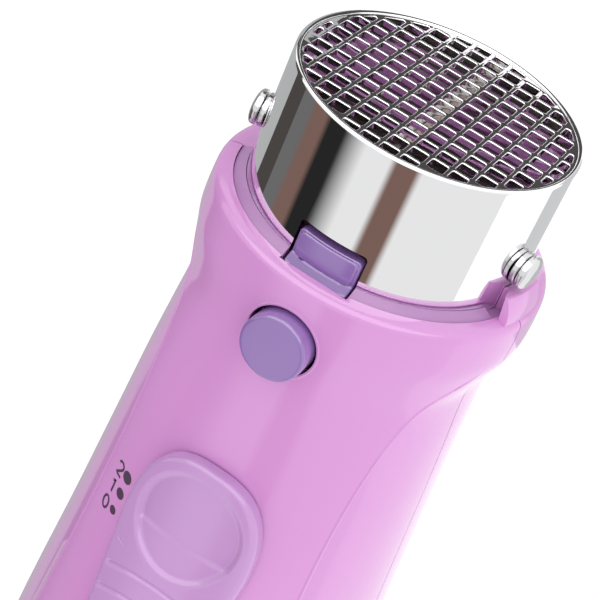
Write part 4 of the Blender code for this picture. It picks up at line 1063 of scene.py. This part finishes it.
def knob():
    outline = resampled(knob_outline(), 300)
    turns = np.arctan2(outline[:, 0] / DISH_HALF, (outline[:, 1] - DISH_U) / DISH_LENGTH)
    edge = np.stack([DISH_HALF * np.sin(turns), DISH_U + DISH_LENGTH * np.cos(turns)], axis=1)
    rings = []
    for t in [0, 0.01, 0.02, 0.032, 0.045, *np.linspace(0.06, 0.97, 110), 1.0]:
        rings.append(outline + (edge - outline) * t)
    centre = np.array([0.0, DISH_U])
    for t in [0.975, 0.95, 0.925, 0.9, 0.875, 0.85, 0.82, *np.linspace(0.78, 0.04, 24)]:
        rings.append(centre + (edge - centre) * t)

    def height(points):
        return knob_height(points, outline)

    def to_world(v, u, w):
        return SLIDE_FRAME @ (Vector((v, u, w)) * MM)

    # The underside follows the handle, one clearance above it.
    under = []
    for t in (0.0, 0.25, 0.5, 0.75, 0.96):
        spots = outline + (centre - outline) * t
        skirt = np.sqrt((KNOB_SECTION_R + GAP) ** 2 - spots[:, 0] ** 2) - KNOB_SECTION_R
        under.append([(v, u, w) for (v, u), w in zip(spots, skirt)])
    bm = bmesh.new()
    domed(bm, rings, height, under, to_world)
    grip = solid("switch_grip", bm, 50)
    stem = STEM_SIZE / 2
    boolean(grip, slide_box((-stem, stem), (-stem, stem), (-WALL - 2.8, KNOB_RISE - 1.4)), "UNION", 50)
    finish(grip, "slide_switch", "switch_pink", "switch_knob")
    rows = []
    for v, u in ((9.0, -11.1), (8.4, -10.9), (7.8, -10.7), (7.2, -10.45)):
        lift = float(knob_height([(v, u)], outline)[0])
        ridge = ((-0.13, -0.1), (0, 0.07), (0.13, -0.1))
        rows.append([to_world(v, u + a, lift + b) for a, b in ridge])
    finish(capped("switch_index_line", rows, 50), "slide_switch", "switch_pink")
    return grip


# ---- numbers and dots beside the switch ----


def on_shell(bm, x0, s0, points, lift):
    return [bm.verts.new(world(x0 - a, s0 - b, front_at(x0 - a, s0 - b) + lift)) for a, b in points]


INK_HIGH, INK_LOW = 0.035, -0.05  # a print's top and foot, over the shell


def round_path(half_x, half_y, count):
    turns = [math.tau * i / count for i in range(count)]
    return [(half_x * math.cos(turn), half_y * math.sin(turn)) for turn in turns]


def add_print(bm, x0, s0, outline):
    """A flat printed patch: `outline` is (right, up) about its place, read with the outlet up."""
    high = on_shell(bm, x0, s0, outline, INK_HIGH)
    low = on_shell(bm, x0, s0, outline, INK_LOW)
    bm.faces.new(high)
    bm.faces.new(list(reversed(low)))
    bridge(bm, high, low)


def add_stroke(bm, x0, s0, path, half, closed):
    """A printed line of even width along (right, up) points."""
    count = len(path)
    rails = []
    for i in range(count):
        before = path[i - 1] if closed or i else path[i]
        after = path[(i + 1) % count] if closed or i < count - 1 else path[i]
        dx, dy = after[0] - before[0], after[1] - before[1]
        size = math.hypot(dx, dy)
        nx, ny = -dy / size * half, dx / size * half
        x, y = path[i]
        rails.append(((x + nx, y + ny), (x - nx, y - ny)))
    high = [on_shell(bm, x0, s0, pair, INK_HIGH) for pair in rails]
    low = [on_shell(bm, x0, s0, pair, INK_LOW) for pair in rails]
    for i in range(count if closed else count - 1):
        k = (i + 1) % count
        bm.faces.new((high[i][0], high[i][1], high[k][1], high[k][0]))
        bm.faces.new((low[i][1], low[i][0], low[k][0], low[k][1]))
        bm.faces.new((high[i][0], high[k][0], low[k][0], low[i][0]))
        bm.faces.new((high[k][1], high[i][1], low[i][1], low[k][1]))
    if not closed:
        bm.faces.new((high[0][0], low[0][0], low[0][1], high[0][1]))
        bm.faces.new((high[-1][1], low[-1][1], low[-1][0], high[-1][0]))


def switch_marks():
    for s, radius, name in ((67.05, 0.95, "two"), (70.1, 0.83, "one"), (73.25, 0.66, "zero")):
        bm = bmesh.new()
        add_print(bm, 12.75, s, round_path(radius, radius, 32))
        finish(solid("dot_" + name, bm), "casing", "black", look=INK)
    half = 0.17
    two = []
    for angle in range(165, -46, -15):
        turn = math.radians(angle)
        two.append((0.62 * math.cos(turn), 0.52 + 0.6 * math.sin(turn)))
    two += [(0.1, -0.3), (-0.25, -0.68), (-0.55, -1.0), (-0.3, -1.02), (0.2, -1.02), (0.68, -1.02)]
    one = [(-0.32, 0.62), (-0.05, 0.85), (0.12, 1.08), (0.12, 0.4), (0.12, -0.4), (0.12, -1.08)]
    zero = round_path(0.6, 1.02, 28)
    for path, s, name in ((two, 67.35, "two"), (one, 70.45, "one"), (zero, 73.6, "zero")):
        bm = bmesh.new()
        add_stroke(bm, 14.65, s, path, half, path is zero)
        finish(solid("number_" + name, bm), "casing", "black", look=INK)


# ---- inside the outlet ----


def liner():
    outer = BARREL_R - BARREL_WALL - GAP
    inner = outer - 1.3
    profile = [(outer, 4.5), (outer, 9.6), (inner, 10.8), (inner, 13.0), (17.1, 13.0), (17.1, 10.0)]
    profile += [(inner - 0.6, 8.4), (inner - 0.6, 4.6), *arc((inner - 0.1, 4.5), 0.5, 180, 270, 6)]
    profile += [(outer - 0.6, 4.0), *arc((outer - 0.5, 4.5), 0.5, 270, 360, 6)[1:]]
    tube = turned("liner_fine", profile, 128)
    return finish(tube, "casing", "pink_shell", "outlet_liner")


def heater_strip():
    """The tall board's front edge, wound with a ribbed element: a clear half and a tinted half."""
    for name, low_x, high_x, look in (("clear", 0.05, 1.35, GLASSY), ("tinted", -1.35, -0.05, TINTED)):
        bm = bmesh.new()
        z = -16.5
        while z < 10.4:
            middle_x = (low_x + high_x) / 2
            size = Matrix.Diagonal(((high_x - low_x) / 2 * MM, 0.55 * MM, 0.42 * MM, 1.0))
            at = Matrix.Translation(world(middle_x, 3.6, z)) @ Matrix.Rotation(0.25, 4, "Y") @ size
            bmesh.ops.create_uvsphere(bm, u_segments=18, v_segments=10, radius=1.0, matrix=at)
            z += 1.02
        finish(solid("heater_ribs_" + name, bm, 60), "casing", "mica", look=look)


TINTED = surface("ribbed_tinted", (0.46, 0.36, 0.30), 0.12, vary=0.15, grain=2600, **GLOSS)
GLASSY = surface("ribbed_clear", (0.82, 0.80, 0.79), 0.1, vary=0.1, grain=2600, **GLOSS)


# ---- tail ----


def tail_row(s, inset=0.0, shrink=0.0):
    depth = half_width(S_SHELL_END) - shrink - inset
    front = front_line(S_SHELL_END) - shrink - inset
    rear = rear_line(S_SHELL_END) - shrink - inset
    crease = CREASE_DEPTH * (1 - ease(shrink / 2.5)) if inset == 0 else 0.0
    return (s, depth, front, rear, SEAM_LIFT, AXIS_Z - inset, crease)


def hole_row(s, radius):
    return (s, radius, SEAM_LIFT + radius, radius - SEAM_LIFT, SEAM_LIFT, AXIS_Z, 0.0)


def tail_cap():
    start = S_SHELL_END + GAP
    end = S_CAP_END
    hole = GLAND_R + GAP
    rows = [tail_row(start, 0, 0.25), tail_row(start + 0.2, 0, 0.05), tail_row(start + 1.5, 0, 0.12)]
    for i in range(1, 12):
        t = i / 12
        s = start + 1.5 + (end - start - 1.5) * t
        rows.append(tail_row(s, 0, 0.12 + 6.28 * (1 - math.sqrt(1 - t**2.6))))
    inside = end - CAP_WALL
    rows += [tail_row(end, 0, 6.4), hole_row(end, hole + 0.3), hole_row(end - 0.3, hole)]
    rows += [hole_row(inside, hole), tail_row(inside, CAP_WALL, 4.6)]
    rows += [tail_row(end - 4.2, CAP_WALL, 1.7), tail_row(start, CAP_WALL, 0.0)]
    cap = loft("tail_cap_fine", rows)
    bm = bmesh.new()
    half = 0.85
    inner, outer = 8.5 + half, half_width(S_SHELL_END) - 7.6 - half
    ends = [(-half, inner), (-half, outer), *arc((0, outer), half, 180, 0, 6)[1:-1]]
    ends += [(half, outer), (half, inner), *arc((0, inner), half, 0, -180, 6)[1:-1]]
    for i in range(12):
        turn = math.tau * (i + 0.5) / 12
        matrix = Matrix.Translation(world(0, end - 1, SEAM_LIFT)) @ Matrix.Rotation(turn, 4, "Y")
        near = [bm.verts.new(matrix @ (Vector((a, -3, b)) * MM)) for a, b in ends]
        far = [bm.verts.new(matrix @ (Vector((a, 3, b)) * MM)) for a, b in ends]
        bm.faces.new(near)
        bm.faces.new(far)
        bridge(bm, near, far)
    boolean(cap, solid("slots", bm))
    return finish(cap, "casing", "pink_shell", "tail_cap")


# ---- studio ----


def card(name, mesh_points, faces, look, only_gloss=True):
    mesh = bpy.data.meshes.new(name)
    mesh.from_pydata(mesh_points, [], faces)
    obj = place(name, mesh)
    mesh.materials.append(look)
    if only_gloss:
        obj.visible_camera = False
        obj.visible_diffuse = False
        obj.visible_shadow = False
        obj.visible_transmission = False
        obj.visible_volume_scatter = False
    return obj


PALE_PAPER = (0.85, 0.85, 0.85)
BROWN_BOARD = (0.2, 0.12, 0.1)
BLACK_CLOTH = (0.02, 0.02, 0.02)
GREY_CLOTH = (0.15, 0.15, 0.15)
# The strips of the studio's wall: degrees from straight up towards +X. Each blends into the next.
STRIPS = [
    (-90, -25, PALE_PAPER),
    (-20, -5, BROWN_BOARD),
    (0, 20, PALE_PAPER),
    (40, 55, BLACK_CLOTH),
    (60, 72, BROWN_BOARD),
    (78, 95, GREY_CLOTH),
]


def studio_look():
    nodes = Nodes("studio_wall")
    parts = nodes.add("ShaderNodeSeparateXYZ")
    nodes.link(nodes.place, parts.inputs["Vector"])
    turn = nodes.add("ShaderNodeMath", operation="ARCTAN2")
    nodes.link(parts.outputs["X"], turn.inputs[0])
    nodes.link(parts.outputs["Z"], turn.inputs[1])
    round_part = nodes.scaled(turn.outputs["Value"], 0.0, 1.0, -math.pi, math.pi)
    stops = [((angle + 180) / 360, colour) for start, end, colour in STRIPS for angle in (start, end)]
    colours = nodes.ramp(round_part, stops)
    nodes.link(colours, nodes.glow(1.0))
    return nodes.material


def sheet(name, x, y, height, look, only_gloss=True):
    """A flat card level with the floor."""
    spots = [(x[0], y[0], height), (x[1], y[0], height), (x[1], y[1], height), (x[0], y[1], height)]
    return card(name, spots, [(0, 1, 2, 3)], look, only_gloss)


def studio():
    glow = {"Emission_Color": (1.0, 1.0, 1.0, 1.0), "Emission_Strength": 0.88}
    floor_look = surface("studio_floor", (0.2, 0.2, 0.2), 0.8, vary=0.004, grain=60, bump=0.0, **glow)
    sheet("floor", (-4, 4), (-4, 4), 0, floor_look, only_gloss=False)
    # A wall bent round the tail side that only glossy surfaces see.
    radius, near, far = 0.8, 0.06, 1.7
    steps = 96
    points, faces = [], []
    for i in range(steps + 1):
        turn = math.radians(-92 + 184 * i / steps)
        x, z = radius * math.sin(turn), radius * math.cos(turn)
        points += [(x, near, z), (x, far, z)]
        if i:
            faces.append((2 * i - 2, 2 * i, 2 * i + 1, 2 * i - 1))
    wall = card("studio_wall", points, faces, studio_look())
    wall.location = (0, 0, AXIS_HEIGHT)
    # Low cards beside the part, which its chrome and gloss reflect.
    front = CAD_LOW.y - 0.004
    side_grey = plain("studio_side_left", (0.45, 0.46, 0.46), 1.0)
    side_light = plain("studio_side_right", (0.62, 0.63, 0.63), 1.0)
    dark = plain("studio_dark", (0.07, 0.062, 0.058), 1.0)
    grey = plain("studio_grey", (0.075, 0.068, 0.07), 1.0)
    sheet("studio_side_left", (0.024, 0.105), (-0.12, 0.14), 0.0008, side_grey)
    sheet("studio_side_right", (-0.045, -0.024), (-0.12, -0.06), 0.0008, side_light)
    sheet("studio_dark_side", (0.105, 1.2), (-0.2, 1.6), 0.0006, dark)
    sheet("studio_dark_front", (-0.02, 0.05), (front - 0.05, front), 0.0006, grey)
    bright = plain("studio_bright", (1.0, 1.0, 1.0), 2.8)
    spots = [(-1.3, -0.9, 0.12), (1.3, -0.9, 0.12), (1.3, -0.75, 1.5), (-1.3, -0.75, 1.5)]
    card("studio_front_box", spots, [(0, 1, 2, 3)], bright)


def lights():
    sky = bpy.data.worlds.new("studio_sky")
    sky.use_nodes = True
    back = sky.node_tree.nodes["Background"]
    back.inputs["Color"].default_value = (1.0, 1.0, 1.0, 1.0)
    back.inputs["Strength"].default_value = 1.0
    bpy.context.scene.world = sky
    bpy.context.scene.view_settings.view_transform = "Standard"
    data = bpy.data.lights.new("key_light", "AREA")
    data.shape = "SQUARE"
    data.size = 1.0
    data.energy = 2.6
    light = bpy.data.objects.new("key_light", data)
    light.location = (-1.1, -0.25, 0.75)
    aim = Vector((0, -0.04, 0.02)) - light.location
    light.rotation_mode = "QUATERNION"
    light.rotation_quaternion = aim.to_track_quat("-Z", "Y")
    light.visible_glossy = False
    bpy.context.scene.collection.objects.link(light)


SLOT_OF = {part["node"]: part["material_slot"] for part in frame["record"]["subparts"]}


def carry_over():
    """Every CAD node gets its slot's finish, except the heat shield sleeve, which gets the shell's pink
    darkened as painted shade.
    """
    for name, node in frame["nodes"].items():
        # The sleeve's darkened pink is painted shade deep inside the outlet.
        look = SLEEVE_PAINTED_SHADE if name == "heat_shield_sleeve" else LOOKS[SLOT_OF[name]]
        node.data.materials.clear()
        node.data.materials.append(look)


make_camera()
lights()
studio()
carry_over()
barrel()
studs()
grille()
inner_painted_shade_band()
ring()
liner()
heater_strip()
front_shell()
rear_shell()
tail_cap()
catch()
button()
knob()
switch_marks()
